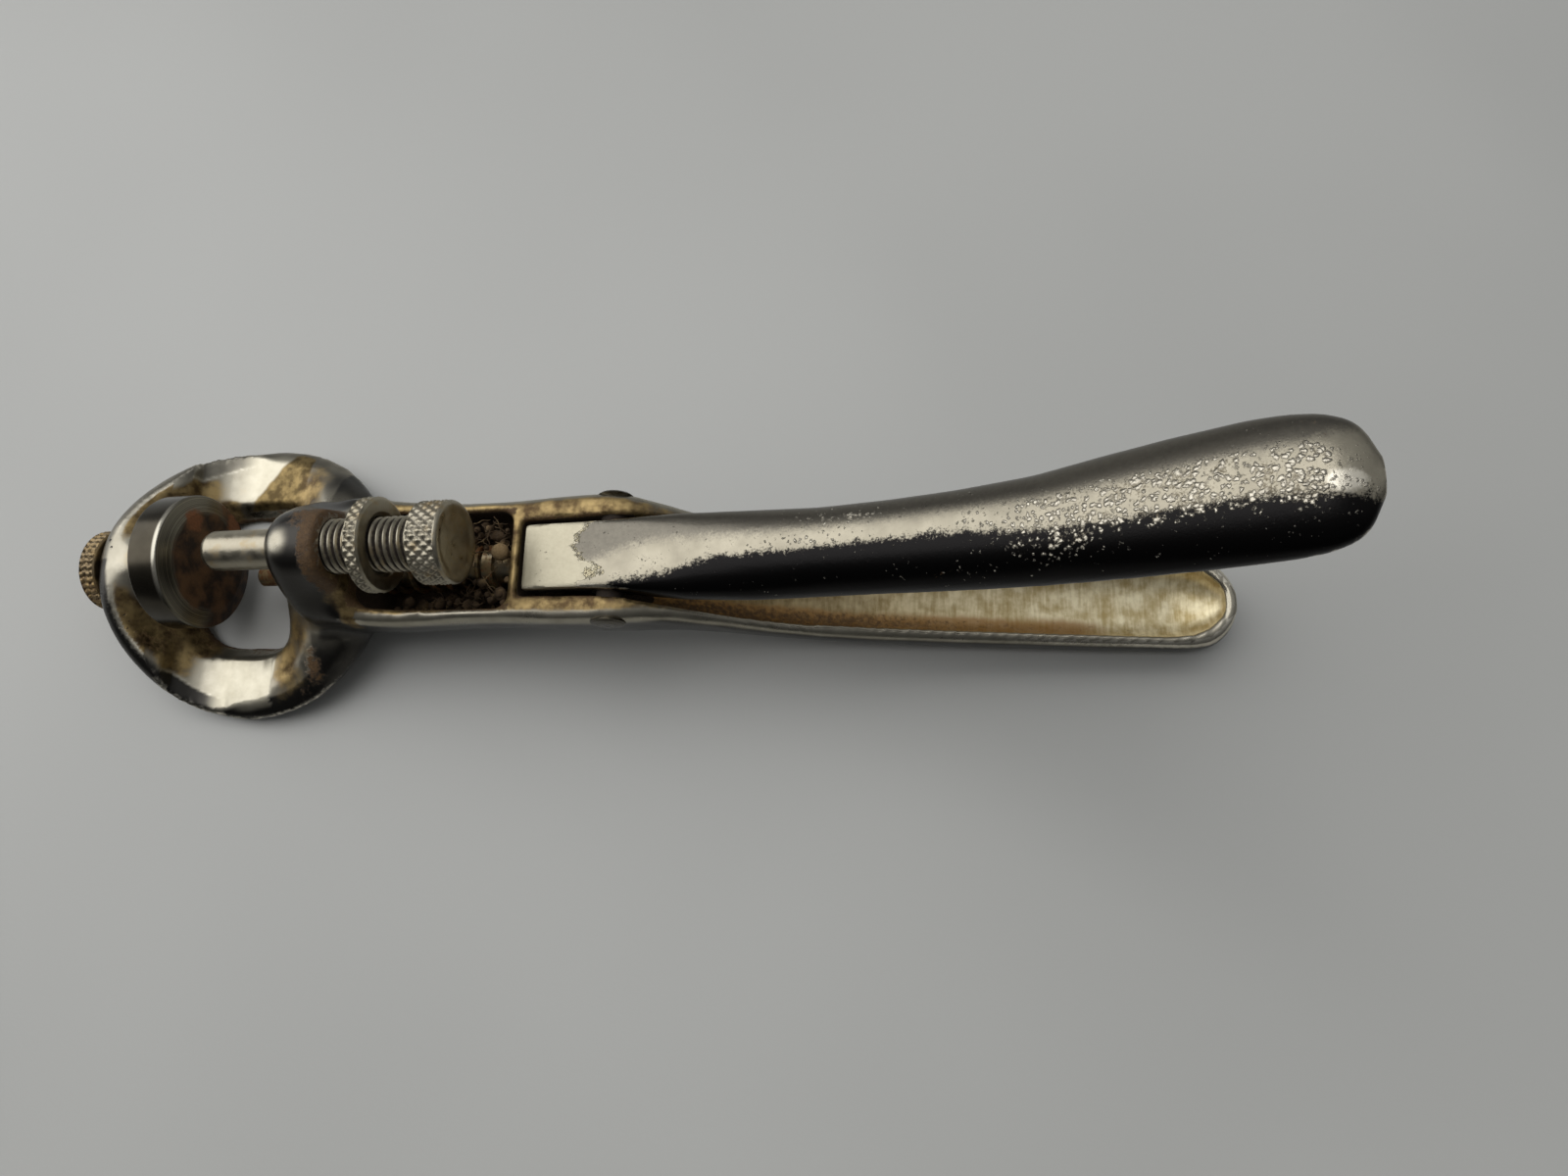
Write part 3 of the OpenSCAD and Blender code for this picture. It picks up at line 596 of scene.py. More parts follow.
def turned_anvil():
    """Turned tool steel darkened by age: fine rings from the lathe, a painted highlight on the upper part of
    the rim, rust round the middle.
    """
    material, node, at, mid, fine, grit = finish(
        "turned and rusted anvil steel", (2.6, 4), (0.8, 4), (0.3, 2))
    x, y, z = node("SeparateXYZ", at).node.outputs
    from_axis = node("VectorMath LENGTH", node("CombineXYZ", None, y, z), out="Value")
    rings = node("TexNoise", node("CombineXYZ", from_axis), Scale=1 / 0.22, Detail=2, Roughness=GRAIN_ROUGH)
    face = node(STEP, x, -0.4, 0.1)
    # a painted highlight along the rim's edge, on its upper part only
    lip = within(node, (from_axis, 9.72, 9.9), (x, -0.75, -0.35), (z, 6, 9))
    # rust keeps to the middle and creeps over the lower half; two orange blooms sit on the face's far side
    inner = node("Math MAXIMUM", node(STEP, from_axis, 9, 5.8), node(STEP, z, 3, -6))
    rust = broken(node, node(TIMES, inner, node(TIMES, face, 0.95)), mid, 0.25, 0.7, 0.8)
    blooms = [node(STEP, node("VectorMath DISTANCE", at, spot, out="Value"), size, 0.5)
              for spot, size in (((0.7, 5.2, 4.1), 3.2), ((0.5, 7.0, -4.5), 3.6))]
    orange = broken(node, node(TIMES, node("Math MAXIMUM", *blooms), face), fine, 0.4, 0.85)
    return coated(material, node, [
        (None, (mid, "#353129", "#4e493f"), 1.0, 0.24),
        (face, (node(STEP, rings, 0.35, 0.65), "#57534a", "#8f8977"), 1.0,
         node(STEP, rings, 0.3, 0.7, 0.26, 0.4)),
        (rust, (node(STEP, mid, 0.35, 0.65), "#2b1e14", "#6b4d30"), 0.35, 0.6),
        # the painted highlight on the rim
        (lip, "#b7b2a4", 1.0, 0.25),
        (orange, (grit, "#5f3a1c", "#94603a"), 0.1, 0.75),
    ], [(node(TIMES, rings, face), 0.02), (node(TIMES, rust, grit), 0.06)])


def worn_steel(name, light, dark, rust_level, rough, rusts=("#3b2614", "#84562a"), shade_half_width=0.0):
    """Plated steel turned on a lathe: silver crests, darker grooves, rust where fingers do not reach.
    Near-black painted shade covers the piece as far as the given number of millimetres from the middle plane,
    where it lies between other parts."""
    material, node, at, wide, mid, fine = finish(name, (4, 3), (1.5, 4), (0.5, 3))
    stain = broken(node, wide, mid, 0.6 - rust_level, 0.9 - rust_level, 0.6)
    rust = broken(node, wide, fine, 0.78 - rust_level, 0.95 - rust_level, 0.5)
    coats = [
        (None, (mid, dark, light), 1.0, node(STEP, mid, 0.3, 0.7, rough, rough + 0.14)),
        (node(TIMES, stain, 0.7), "#9a8152", 0.85, 0.42),
        (rust, (fine, *rusts), 0.15, 0.75),
        # darker in the grooves of threads and knurls, by their depth
        (broken(node, "groove", fine, 0.45, 1.0, 0.5), "#241a11", 0.1, 0.75),
    ]
    if shade_half_width:
        # painted shade, near black, where the piece lies between other parts
        side = node("Math ABSOLUTE", node("SeparateXYZ", at, out="Y"))
        coats.append((node(STEP, side, shade_half_width + 0.3, shade_half_width), (fine, "#0f0b08", "#33261a"), 0.0, 0.9))
    return coated(material, node, coats, [(fine, 0.015)])


def lint_matter():
    """Sawdust and lint packed by oil: dull, fibrous, mid brown, with a few paler lumps."""
    material, node, at, wide, mid, fine = finish("packed sawdust and lint", (5, 2), (1.6, 4), (0.3, 4))
    lump = node("VectorMath DISTANCE", at, PALE_LUMP, out="Value")
    pale = node("Math MAXIMUM", node(STEP, wide, 0.54, 0.66), node(STEP, lump, 2.0, 1.2))
    return coated(material, node, [
        (None, (mid, "#17100a", "#665035"), 0.0, 0.95),
        (pale, (fine, "#5b4428", "#b0966c"), 0.0, 0.95),
    ], [(fine, 0.12)])


def table_top(look):
    """Satin laminate table: pale grey with a very fine grain that softens its reflections."""
    material, node, _, fine, wide = finish("pale grey satin table", (0.6, 2), (120, 2))
    worn = [c * 0.93 for c in look.table[:3]] + [1]
    return coated(material, node, [(None, (node(STEP, wide, 0.3, 0.7), look.table, worn), 0.0, 0.42)],
                  [(fine, 0.012)])


# ---------------------------------------------------------------- settings a user would change


def length_setting(name, description, size, low, high):
    """A length in the panel, given in millimetres."""
    return FloatProperty(name=name, description=description, default=size / MM, min=low / MM, max=high / MM,
                         precision=6, unit="LENGTH")


def colour_setting(name, description, colour):
    """A colour in the panel, from its sRGB hex value."""
    return FloatVectorProperty(name=name, description=description, default=linear(colour), size=4,
                               min=0, max=1, subtype="COLOR")


class SawSetSizes(bpy.types.PropertyGroup):
    """Sizes of the casting's skin and of the small detail."""

    skin: length_setting("Casting skin", "Size of the casting's surface cells", 0.48, 0.3, 2)
    hoop_radius: length_setting("Hoop radius", "Radius of the hoop's outline", 22.2, 20, 24)
    fillet: length_setting("Cast fillets", "Radius of the casting's inner corners", 2.2, 0.5, 3)
    thread_pitch: length_setting("Thread pitch", "Crest to crest of the screw's thread", 1.058, 0.8, 1.5)
    thread_depth: length_setting("Thread depth", "Depth of the gauge screw's thread", 0.6, 0.2, 0.7)
    knurl_pitch: length_setting("Knurl pitch", "Width of one diamond of the knurl", 1.4, 0.7, 2)
    knurl_depth: length_setting("Knurl depth", "Depth of the knurl", 0.34, 0.1, 0.5)


class SawSetLook(bpy.types.PropertyGroup):
    """Colours of the finishes, of the painted shade, and the stage's light."""

    plate_light: colour_setting("Plate, light", "Lighter colour of the nickel plate", "#bab4a4")
    plate_dark: colour_setting("Plate, dark", "Darker colour of the nickel plate", "#8c8677")
    # the colour of the casting's painted shade
    painted_plate_shade: colour_setting("Painted plate shade", "Colour of the darkened plate", "#3b3936")
    # also the colour of the painted highlight at the lever's tip
    bare_edge_and_glint: colour_setting("Worn edges", "Colour of the edges polished by use", "#e3dccb")
    # the colour of the lever's painted shade
    painted_lever_shade: colour_setting("Lever, dark side", "Colour of the lever's darkened side", "#1d1c1c")
    table: colour_setting("Table", "Colour of the table", "#bdbdb9")
    key_power: FloatProperty(
        name="Key light", description="Power of the large overhead light", default=15.0, min=0, max=100,
        unit="POWER")
    sky: FloatProperty(
        name="Sky", description="Strength of the room's soft light", default=0.42, min=0, max=2)


# ---------------------------------------------------------------- the casting


def hoop_loop(degrees, radius, points_each=4):
    """One closed section of the hoop, in the upright plane at an angle from the handle side."""
    a = 360 - degrees if degrees > 180 else degrees
    q = math.radians(degrees)
    dx, dy = math.cos(math.radians(a)), math.sin(math.radians(a))
    ro = radius * curve(HOOP_OUT, a, 4)
    # the window is a rounded square, shorter toward the handle than toward the nose
    reach_x, reach_y, power = 8.5 if dx > 0 else 9.99, 12.3, 3.4
    ri = 1 / ((abs(dx) / reach_x) ** power + (dy / reach_y) ** power) ** (1 / power)
    zo, zi, zb = curve(HOOP_TOP_OUT, a, 5), curve(HOOP_TOP_IN, a, 5), curve(HOOP_FOOT, a, 6)
    lean, k = 1.9 * dy, curve(HOOP_ROUND, a, 3)
    corners = np.array([
        [ri - lean, zb + 0.9], [ri - lean + 1, zb], [ro - 3.6, zb], [ro - 1.6, zb + 0.8], [ro - 0.4, zb + 2],
        [ro, zb + 3.4], [ro, zo - 0.85 * k], [ro - 0.28 * k, zo - 0.3 * k], [ro - k, zo],
        [(ro - k) * 0.66 + ri * 0.34, zo * 0.5 + zi * 0.5],
        [(ro - k) * 0.33 + ri * 0.67, zo * 0.15 + zi * 0.85], [ri + 0.7, zi], [ri, zi - 0.7]])
    out = []
    for i in range(len(corners)):
        p0, p1, p2, p3 = (corners[(i + n) % len(corners)] for n in (-1, 0, 1, 2))
        for t in np.arange(points_each) / points_each:
            h = (2 * t**3 - 3 * t**2 + 1) * p1 + (t**3 - 2 * t**2 + t) * 0.32 * (p2 - p0)
            h = h + (3 * t**2 - 2 * t**3) * p2 + (t**3 - t**2) * 0.32 * (p3 - p1)
            out.append((HOOP_X + h[0] * math.cos(q), h[0] * math.sin(q), h[1]))
    return out


def body_loop(x):
    """Section of the handle part: rounded belly, upright sides and a rounded rim."""
    w = curve(BODY_HALF, x, 1 if x < 143 else 0.2)
    zt, zb = curve(RIM, x, 1.5), curve(BELLY, x, 1.5)
    zc, r = zb + 0.55 * (zt - zb), min(1.6, w * 0.4)
    half = [(0, zb), *arc(w, zc, zb - zc, 2.7, 90, 0, 12)[1:], (w, zc + (zt - r - zc) * 0.5)]
    half += [(w - r + r * math.cos(t), zt - r + r * math.sin(t)) for t in np.radians([0, 22, 45, 67, 90])]
    return mirrored(half, x)


def channel_loop(x):
    """Section of the hollow along the fixed handle."""
    w, zb = curve(CHANNEL_HALF, x, 1 if x < 142 else 0.2), curve(CHANNEL_FLOOR, x, 1.5)
    zc = zb + min(4.5, w)
    return mirrored([(0, zb), *arc(w, zc, zb - zc, 2.7, 90, 0, 12)[1:], (w, 14)], x)


def boss_loop(x):
    """Section of the boss: round the gauge screw at the top, spreading to the hoop's arms below."""
    top, share = BOSS_TOP - curve(BOSS_DROP, x, 0.1), curve(BOSS_SHARE, x, 0.1)
    rear = min(1, (x - BOSS_X) / 8)
    half = [(0, BOSS_FOOT)]
    for d in BOSS_DEPTHS:
        w = (1 - rear) * curve(BOSS_FRONT, d, 0.3) + rear * curve(BOSS_REAR, d, 0.3)
        half.append((share * w, max(top - d, BOSS_FOOT + 0.05 * (30 - d))))
    return mirrored(half + [(0, top)], x)


class SAWSET_OT_casting(bpy.types.Operator):
    """Models the frame casting with its hoop, boss and fixed handle, and paints its wear"""

    bl_idname = "sawset.casting"
    bl_label = "Frame casting"

    def execute(self, context):
        sizes, look = context.scene.saw_set_sizes, context.scene.saw_set_look
        hoop_radius, size = sizes.hoop_radius * MM, (sizes.skin * MM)
        blank = lofted("casting", [hoop_loop(q, hoop_radius) for q in np.arange(0, 360, 2.5)], ring=True)
        carve(blank, [lofted("boss", [boss_loop(x) for x in BOSS_STATIONS])], "UNION")
        carve(blank, [lofted("body", [body_loop(x) for x in BODY_STATIONS])], "UNION")
        remeshed(blank, size)
        cast_fillets(blank, sizes.fillet * MM, size)
        channel = lofted("channel", [channel_loop(x) for x in CHANNEL_STATIONS])
        pocket = box_tool("pocket", (25.4, -POCKET_HALF, POCKET_FLOOR), (47.9, POCKET_HALF, 16), 2.0)
        carve(pocket, [across_tool("pocket foot", POCKET_SECTION, (24, 49))], "INTERSECT")
        carve(blank, [pocket, channel, box_tool("web", (47.4, -6.4, -3.6), (49.7, 6.4, 16)),
                      plate_tool("far dip", SEAT_DIP, (10.6, 24)),
                      plate_tool("near dip", SEAT_DIP, (-24, -10.6))])
        remeshed(blank, size)
        skin = Skin(blank.data)
        skin.smooth(10, 0.9)
        skin.smooth(30, 0.9 * ease(skin.at[:, 0], 26, 32))
        # the flats are cut last, so that they stay flat and end in a crisp edge on the handle's side only
        table = box_tool("table plane", (-60, -40, -20), (200, 40, 0))
        table.data.transform(Matrix.Translation(REST_AT) @ Matrix.Rotation(TILT, 4, "Y"))
        carve(blank, [
            plate_tool("far flat", SEAT_FLAT, (10.5, 24)), plate_tool("near flat", SEAT_FLAT, (-24, -10.5)),
            bar_tool("stud bore", -22, -4, 2.85, STUD_Z), bar_tool("stud face", -8.49, -4, 4.8, STUD_Z),
            bar_tool("pin bore", 8, 18.5, 2.95, SCREW_Z), bar_tool("thread bore", 18.4, 27, 4.0, SCREW_Z),
            bar_tool("plunger bore", 7, 52, 2.45, PLUNGER_Z),
            cross_tool("pivot bore", PIVOT.x, PIVOT.z, 1.9, 20), table,
        ])
        self.wear(Skin(blank.data), hoop_radius)
        seat(blank, "casting", "casting", plated_casting(look), 70, "frame")
        return {"FINISHED"}

    def wear(self, skin, hoop_radius):
        """Paints where the plate is stained, rusted, pitted or worn bright, and paints shade where the plate
        should look dark.
        """
        x, y, z = skin.at.T
        side, normal = np.abs(y), skin.normals()
        bend, wide_bend = skin.bend(8), skin.bend(30)
        body, rim = read(BODY_HALF, x), read(RIM, x)
        inner = np.where(x < WEB_X, POCKET_HALF, read(CHANNEL_HALF, x))
        floor = np.where(x < WEB_X, POCKET_FLOOR, read(CHANNEL_FLOOR, x))
        inside = (x > 25.2) & (side < (body + inner) / 2) & (z > (read(BELLY, x) + floor) / 2)
        flat = ease(x, -4.6, -1.2) * (x < 6.5) * (side > 10.4) * (z < -8.6) * ease(normal[:, 2], 0.8, 0.95)
        web = (x > 47.6) * (x < 49.5) * ease(z, -4.5, -3.8) * (side < 6.6)
        channel = inside * ease(x, 58, 70) * ease(rim - 0.3 - z, 0, 0.5)
        # the hoop, by distance and angle from its own middle
        reach, angle = np.hypot(x - HOOP_X, y), np.degrees(np.arctan2(side, x - HOOP_X))
        outer = read(HOOP_OUT, angle) * hoop_radius
        in_hoop = (x < 15) & (z < 4.5)
        inward = -(normal[:, 0] * (x - HOOP_X) + normal[:, 1] * y) / np.maximum(reach, 1)
        slope = in_hoop * ease(inward, 0.12, 0.42) * ease(x, -1.5, -5) * ease(outer - reach, 2.3, 3.3)
        ridge = in_hoop * np.exp(-((outer - reach - 2.7) / 0.5) ** 2) * (x < 3) * (np.abs(angle) < 165)
        # the upright sides of the handle, and the band round its rim
        below_rim = most(ease(rim - z, 0.3, 1.8), ease(x, 34, 28))
        # painted shade on the near side of the handle, below the rim
        near_side = skin.spread(ease(-normal[:, 1], 0.3, 0.8), 8) * (x > 14) * ~inside
        near_side = near_side * ease(rim - z, 0.6, 3.6)
        near_rim = ease(z - rim, -1.4, -0.5) * ease(z - rim, 2.6, 1.2) * (x > 25) * (x < 80)
        shoulder = ease(body - side - 0.6 * (y < 0), 0.4, 1.3)
        boss = ease(x, 13, 15) * ease(x, 25.4, 23) * ease(z, -5, -2)
        # painted shade: the hoop's outer band, the lower sides below the rim, the boss except a painted
        # highlight left at BOSS_GLINT, the handle's near side, and spots where the plate should look dark
        dark = most(
            in_hoop * ease(reach - outer, -3.1, -2.2) * np.where(y > 0, 0.5, 0.9),
            ease(z, -4.5, -9) * (x > 15) * ~inside * below_rim * 0.8,
            skin.spots(*PAINTED_SHADE_SPOTS), boss * (0.92 - 0.75 * skin.spots(BOSS_GLINT)), near_side * 0.8)
        gold = most(
            skin.spots(*GOLD_SPOTS) * ease(normal[:, 2], 0.5, 0.9) * (1 - flat), slope * 0.92, web * 0.9,
            near_rim * np.interp(x, [62, 74], [0.95, 0.6]) * shoulder,
            ease(x, 22.8, 24.4) * (x < 25.6) * (z > -5) * (z < 8) * (y < 0) * 0.95, skin.spots(BOSS_STAIN))
        rust = most(
            skin.spots(*RUST_SPOTS) * (1 - flat), ease(x, 21.8, 23.6) * ease(x, 26, 25) * ease(z, 1, 4) * 0.8,
            in_hoop * ease(inward, 0.35, 0.8) * ease(inward, 0.75, 0.95) * 0.85,
            slope * ease(inward, 0.5, 0.8) * 0.45, ease(-bend, 0.03, 0.14) * 0.4 * (1 - flat) * (z > -13),
            near_rim * ease(inner - side + 0.9, 0.0, 0.9) * np.where(x < 62, 0.7, 0.45),
            inside * ease(-wide_bend, 0.0, 0.35) * ease(x, 112, 66) * (x > 26) * 0.8) * (1 - 0.7 * web)
        in_hollow = channel * ease(-y, 1.0, 4.5) * (0.3 + 0.25 * ease(x, 130, 90)) * ease(x, 148, 138)
        edge = skin.spread(ease(bend, 0.03, 0.14), 3) * ~inside
        edge = edge * np.interp(x, [26, 27, 112, 130], [0.55, 0.35, 0.35, 0.85])
        skin.paint(channel=channel, flat=flat, dark=dark, gold=gold, rust=most(rust, in_hollow),
                   crust=inside * (x < 66) * ease(z - rim, -0.2, -1.0) * (1 - web),
                   pits=skin.spots(*PIT_SPOTS), edge=most(edge, ridge * 0.45))


# ---------------------------------------------------------------- the lever


def lever_loop(x):
    """Section of the lever: flat sides in front, a rounded back along the handle."""
    w, ze, zt = curve(LEVER_HALF, x, 0.8), curve(LEVER_EDGE, x, 1.5), curve(LEVER_TOP, x, 1.5)
    half = [(0, ze - 0.75), (w - 0.5, ze - 0.7), (w - 0.1, ze - 0.45), (w, ze)]
    return mirrored(half + arc(w, ze, zt - ze, curve(LEVER_SQUARE, x, 0.5), 4, 88, 16) + [(0, zt)], x)


def hollow_loop(x):
    """Section of the hollow under the lever's handle."""
    w, ze = curve(LEVER_HALF, x, 0.8) - 1.7, curve(LEVER_EDGE, x, 1.5)
    zt = curve(LEVER_TOP, x, 1.5) - 2
    half = [(0, ze - 4.1), (w, ze - 4)] + arc(w, ze, zt - ze, 2.2, 0, 86, 10) + [(0, zt)]
    return mirrored(half, x)


class SAWSET_OT_lever(bpy.types.Operator):
    """Models the hand lever with its hub and toe, and paints its flaked plate"""

    bl_idname = "sawset.lever"
    bl_label = "Hand lever"

    def execute(self, context):
        lever = lofted("hand_lever", [lever_loop(x) for x in LEVER_STATIONS])
        px, pz = PIVOT.x, PIVOT.z
        tx, tz = px - 3.4, pz - 5.4
        block = [(56.3, -4), (px + 9, -4), (px + 9, -6), (px + 3, -8.5), (px - 3, -6.5), (58.5, -5.5)]
        toe = [(tx - 1.52, tz + 0.5), (px - 2.7, pz - 1), (px, pz), (px + 2, pz - 3.9), (tx + 0.4, tz - 1.55)]
        carve(lever, [plate_tool("hub block", block, (-4.9, 4.9)), cross_tool("hub", px, pz, 3.0, 4.9),
                      cross_tool("toe", tx, tz, 1.6, 3.0), plate_tool("toe web", toe, (-3, 3))], "UNION")
        carve(lever, [lofted("hollow", [hollow_loop(x) for x in HOLLOW_STATIONS])])
        remeshed(lever, 0.36)
        Skin(lever.data).smooth(5, 0.8)
        carve(lever, [cross_tool("bore", px, pz, 1.95, 20)])
        self.wear(Skin(lever.data))
        seat(lever, "lever", "lever_plate", lever_plate(context.scene.saw_set_look), 38, "lever")
        return {"FINISHED"}

    def wear(self, skin):
        """Paints where the plate is left, flaked, peeling or worn bright, with painted shade on its near,
        lower and far sides and a painted highlight at its tip.
        """
        (x, y, _), up = skin.at.T, skin.normals()[:, 2]
        above = ease(up, -0.1, 0.2)
        flake = read(FLAKE_EDGE, y) + 0.3 * np.sin(3.7 * y + 0.6) + 0.16 * np.sin(8.3 * y)
        patch = ease(flake - x, -1.2, 1.2) * above
        line = read(NEAR_SHADE_LINE, x)
        # painted shade on the near side and on faces turned down
        dark = most(ease(line - y, -1.7, 2.1) * ease(x, 60, 66), ease(-up, -0.2, 0.3) * 0.9)
        # painted grey shade on the far side
        far = ease(y - read(FAR_SHADE_LINE, x), -2.0, 2.4) * ease(x - flake, -0.6, 0.8)
        back = ease(y - line, -3.0, 0.5) * ease(read(LEVER_HALF, x) * 0.55 - y, 0, 2.0) * above
        crumbs = np.exp(-((x - flake - 0.2) / 0.9) ** 2) * ease(y, -4.6, -3) * 0.55
        skin.paint(
            patch=patch, dark=dark * (1 - patch), grey=far * (1 - patch),
            peel=most(ease(x, 106, 126) * ease(x, 157, 151) * back * 0.6, skin.spots(*PEEL_SPOTS)),
            rust=most(ease(x, 156, 158.8) * 0.3, skin.spots(*LEVER_RUST)),
            flake=most(crumbs, skin.spots(FLAKE_CORNER)) * above,
            # worn edges, and a painted highlight at the tip
            edge=most(ease(skin.bend(6), 0.015, 0.09) * 0.6, skin.spots(TIP_GLINT)))


# ---------------------------------------------------------------- the turned pieces


def diamonds(radius, pitch, depth, first, last):
    """A diamond knurl between two x: little pyramids left by two crossing sets of grooves."""
    starts = round(2 * math.pi * radius / pitch)

    def relief(x, angle, r):
        if r < radius - 0.05 or not first < x < last:
            return 0.0
        turn, rise = starts * angle / (2 * math.pi), (x - first) / (pitch * 1.25)
        a, b = (turn + rise) % 1, (turn - rise) % 1
        peak = min(1 - abs(2 * a - 1), 1 - abs(2 * b - 1))
        return -depth * (1 - min(peak * 1.35, 1))

    return relief


class SAWSET_OT_anvil(bpy.types.Operator):
    """Models the anvil disc with its off-centre stud"""

    bl_idname = "sawset.anvil"
    bl_label = "Anvil disc"

    def execute(self, context):
        low, high = span("anvil_disc")
        radius = high.y
        disc = turned("anvil_disc_turned", soften([
            (0, high.x), (7.4, high.x), (radius - 0.15, 0.0), (radius, -0.25), (radius, -4.45),
            (radius - 0.4, -4.85), (0, -4.85)], 0.12), steps=160)
        stud = turned("stud", soften([
            (0, -3.9), (4.4, -3.9), (4.4, -8.45), (2.8, -8.45), (2.8, low.x + 0.4), (2.4, low.x),
            (0, low.x)], 0.1), steps=80, centre=STUD_Z)
        carve(disc, [stud], "UNION")
        seat(disc, "anvil", "anvil_steel", turned_anvil(), 30, "anvil_disc")
        return {"FINISHED"}


class SAWSET_OT_anvil_nut(bpy.types.Operator):
    """Models the knurled nut that holds the anvil at the nose"""

    bl_idname = "sawset.anvil_nut"
    bl_label = "Anvil nut"

    def execute(self, context):
        low, high = span("anvil_nut")
        radius, bore, ridges = high.y, 2.85, 38

        def relief(x, angle, r):
            if r < radius - 0.05 or not low.x + 0.3 < x < high.x - 0.2:
                return 0.0
            wave = (ridges * (angle + 0.02 * math.sin(5 * x + 3 * angle)) / (2 * math.pi)) % 1
            across = (x / 1.1 + 2 * angle) % 1
            return -0.28 * (1 - min(1.6 * (1 - abs(2 * wave - 1)), 1)) - 0.1 * (across < 0.25)

        nut = turned("anvil_nut_knurled", soften([
            (bore, high.x), (radius - 0.3, high.x), (radius, high.x - 0.3), (radius, low.x + 0.5),
            (radius - 0.5, low.x), (bore, low.x), (bore, high.x)], 0.1),
            steps=228, fine=0.16, relief=relief, centre=(low.z + high.z) / 2)
        brown = worn_steel("brown aged steel", "#a08d6e", "#655742", 0.2, 0.4, ("#4b3824", "#7b6242"))
        seat(nut, "anvil_nut", "aged_steel", brown, 32, "anvil_nut")
        return {"FINISHED"}


class SAWSET_OT_gauge_screw(bpy.types.Operator):
    """Models the gauge screw: plain pin, fine thread and diamond-knurled head"""

    bl_idname = "sawset.gauge_screw"
    bl_label = "Gauge screw"

    def execute(self, context):
        sizes = context.scene.saw_set_sizes
        low, high = span("gauge_screw")
        tip, face, head = low.x, high.x, high.y
        start, thread, pitch, depth = 20.1, 3.95, sizes.thread_pitch * MM, sizes.thread_depth * MM
        knurl = diamonds(head, sizes.knurl_pitch * MM, sizes.knurl_depth * MM, face - 4.5, face - 0.5)

        def relief(x, angle, r):
            if r > thread + 0.1:
                return knurl(x, angle, r)
            if not start < x < face - 4.9 or r < thread - 0.2:
                return 0.0
            phase = (x / pitch - angle / (2 * math.pi)) % 1
            cut = 1 - min(abs(2 * phase - 1) * 1.12, 1)
            return -depth * cut * ease(x, start, start + 1.4)

        screw = turned("gauge_screw_threaded", soften([
            (0, tip), (1.9, tip), (2.55, tip + 0.35), (2.9, tip + 1.1), (2.9, start), (thread, start + 0.9),
            (thread, face - 4.85), (head - 0.4, face - 4.85), (head, face - 4.5), (head, face - 0.45),
            (head - 0.3, face), (head - 0.9, face), (head - 1.8, face - 0.16), (0, face - 0.24)], 0.25, 3),
            steps=168, fine=0.11, relief=relief, centre=(low.z + high.z) / 2)
        bright = worn_steel("worn plated screw", "#bdb6a4", "#7d7666", 0.1, 0.27)
        seat(screw, "gauge", "bright_steel", bright, 180, "gauge_screw")
        return {"FINISHED"}


class SAWSET_OT_lock_nut(bpy.types.Operator):
    """Models the knurled lock nut on the gauge screw"""

    bl_idname = "sawset.lock_nut"
    bl_label = "Lock nut"

    def execute(self, context):
        sizes = context.scene.saw_set_sizes
        low, high = span("lock_nut")
        radius, bore = high.y, 4.0
        knurl = diamonds(radius, sizes.knurl_pitch * MM, sizes.knurl_depth * MM, low.x + 0.25, high.x - 0.25)
        nut = turned("lock_nut_knurled", soften([
            (bore, low.x), (radius - 0.4, low.x), (radius, low.x + 0.3), (radius, high.x - 0.3),
            (radius - 0.4, high.x), (bore + 0.6, high.x), (bore, high.x - 0.4), (bore, low.x)], 0.12),
            steps=228, fine=0.14, relief=knurl, centre=(low.z + high.z) / 2)
        bright = worn_steel("worn plated nut", "#beb7a4", "#7d7562", 0.12, 0.3)
        seat(nut, "lock_nut", "bright_steel", bright, 180, "lock_nut")
        return {"FINISHED"}


class SAWSET_OT_small_steel(bpy.types.Operator):
    """Gives the plunger, the pivot pin and the return spring their finishes"""

    bl_idname = "sawset.small_steel"
    bl_label = "Plunger, pin and spring"

    def execute(self, context):
        dull = worn_steel("dull plunger steel", "#99917f", "#5f594c", 0.3, 0.35)
        # the pin's middle, between the lever and the casting, gets painted shade
        pin = worn_steel("riveted pin steel", "#6f6a5f", "#3d3a33", 0.02, 0.24, shade_half_width=8.6)
        wire = worn_steel("dirty spring wire", "#6f675a", "#3b342b", 0.36, 0.45)
        for node, material in (("plunger", dull), ("pivot_pin", pin), ("return_spring", wire)):
            materials = frame["nodes"][node].data.materials
            materials.clear()
            materials.append(material)
        return {"FINISHED"}


# ---------------------------------------------------------------- lint in the pocket


def clear_of_works(x, y, z, r):
    """True where a crumb stays off the spring, the plunger and the screw in all their travel."""
    keep = 3.75 if x < 44.6 else 2.75
    in_pocket = abs(y) + r < 7.1 and 25.9 < x - r and x + r < 47.6
    return in_pocket and math.hypot(y, z - PLUNGER_Z) > keep + r and z + r < -2.6


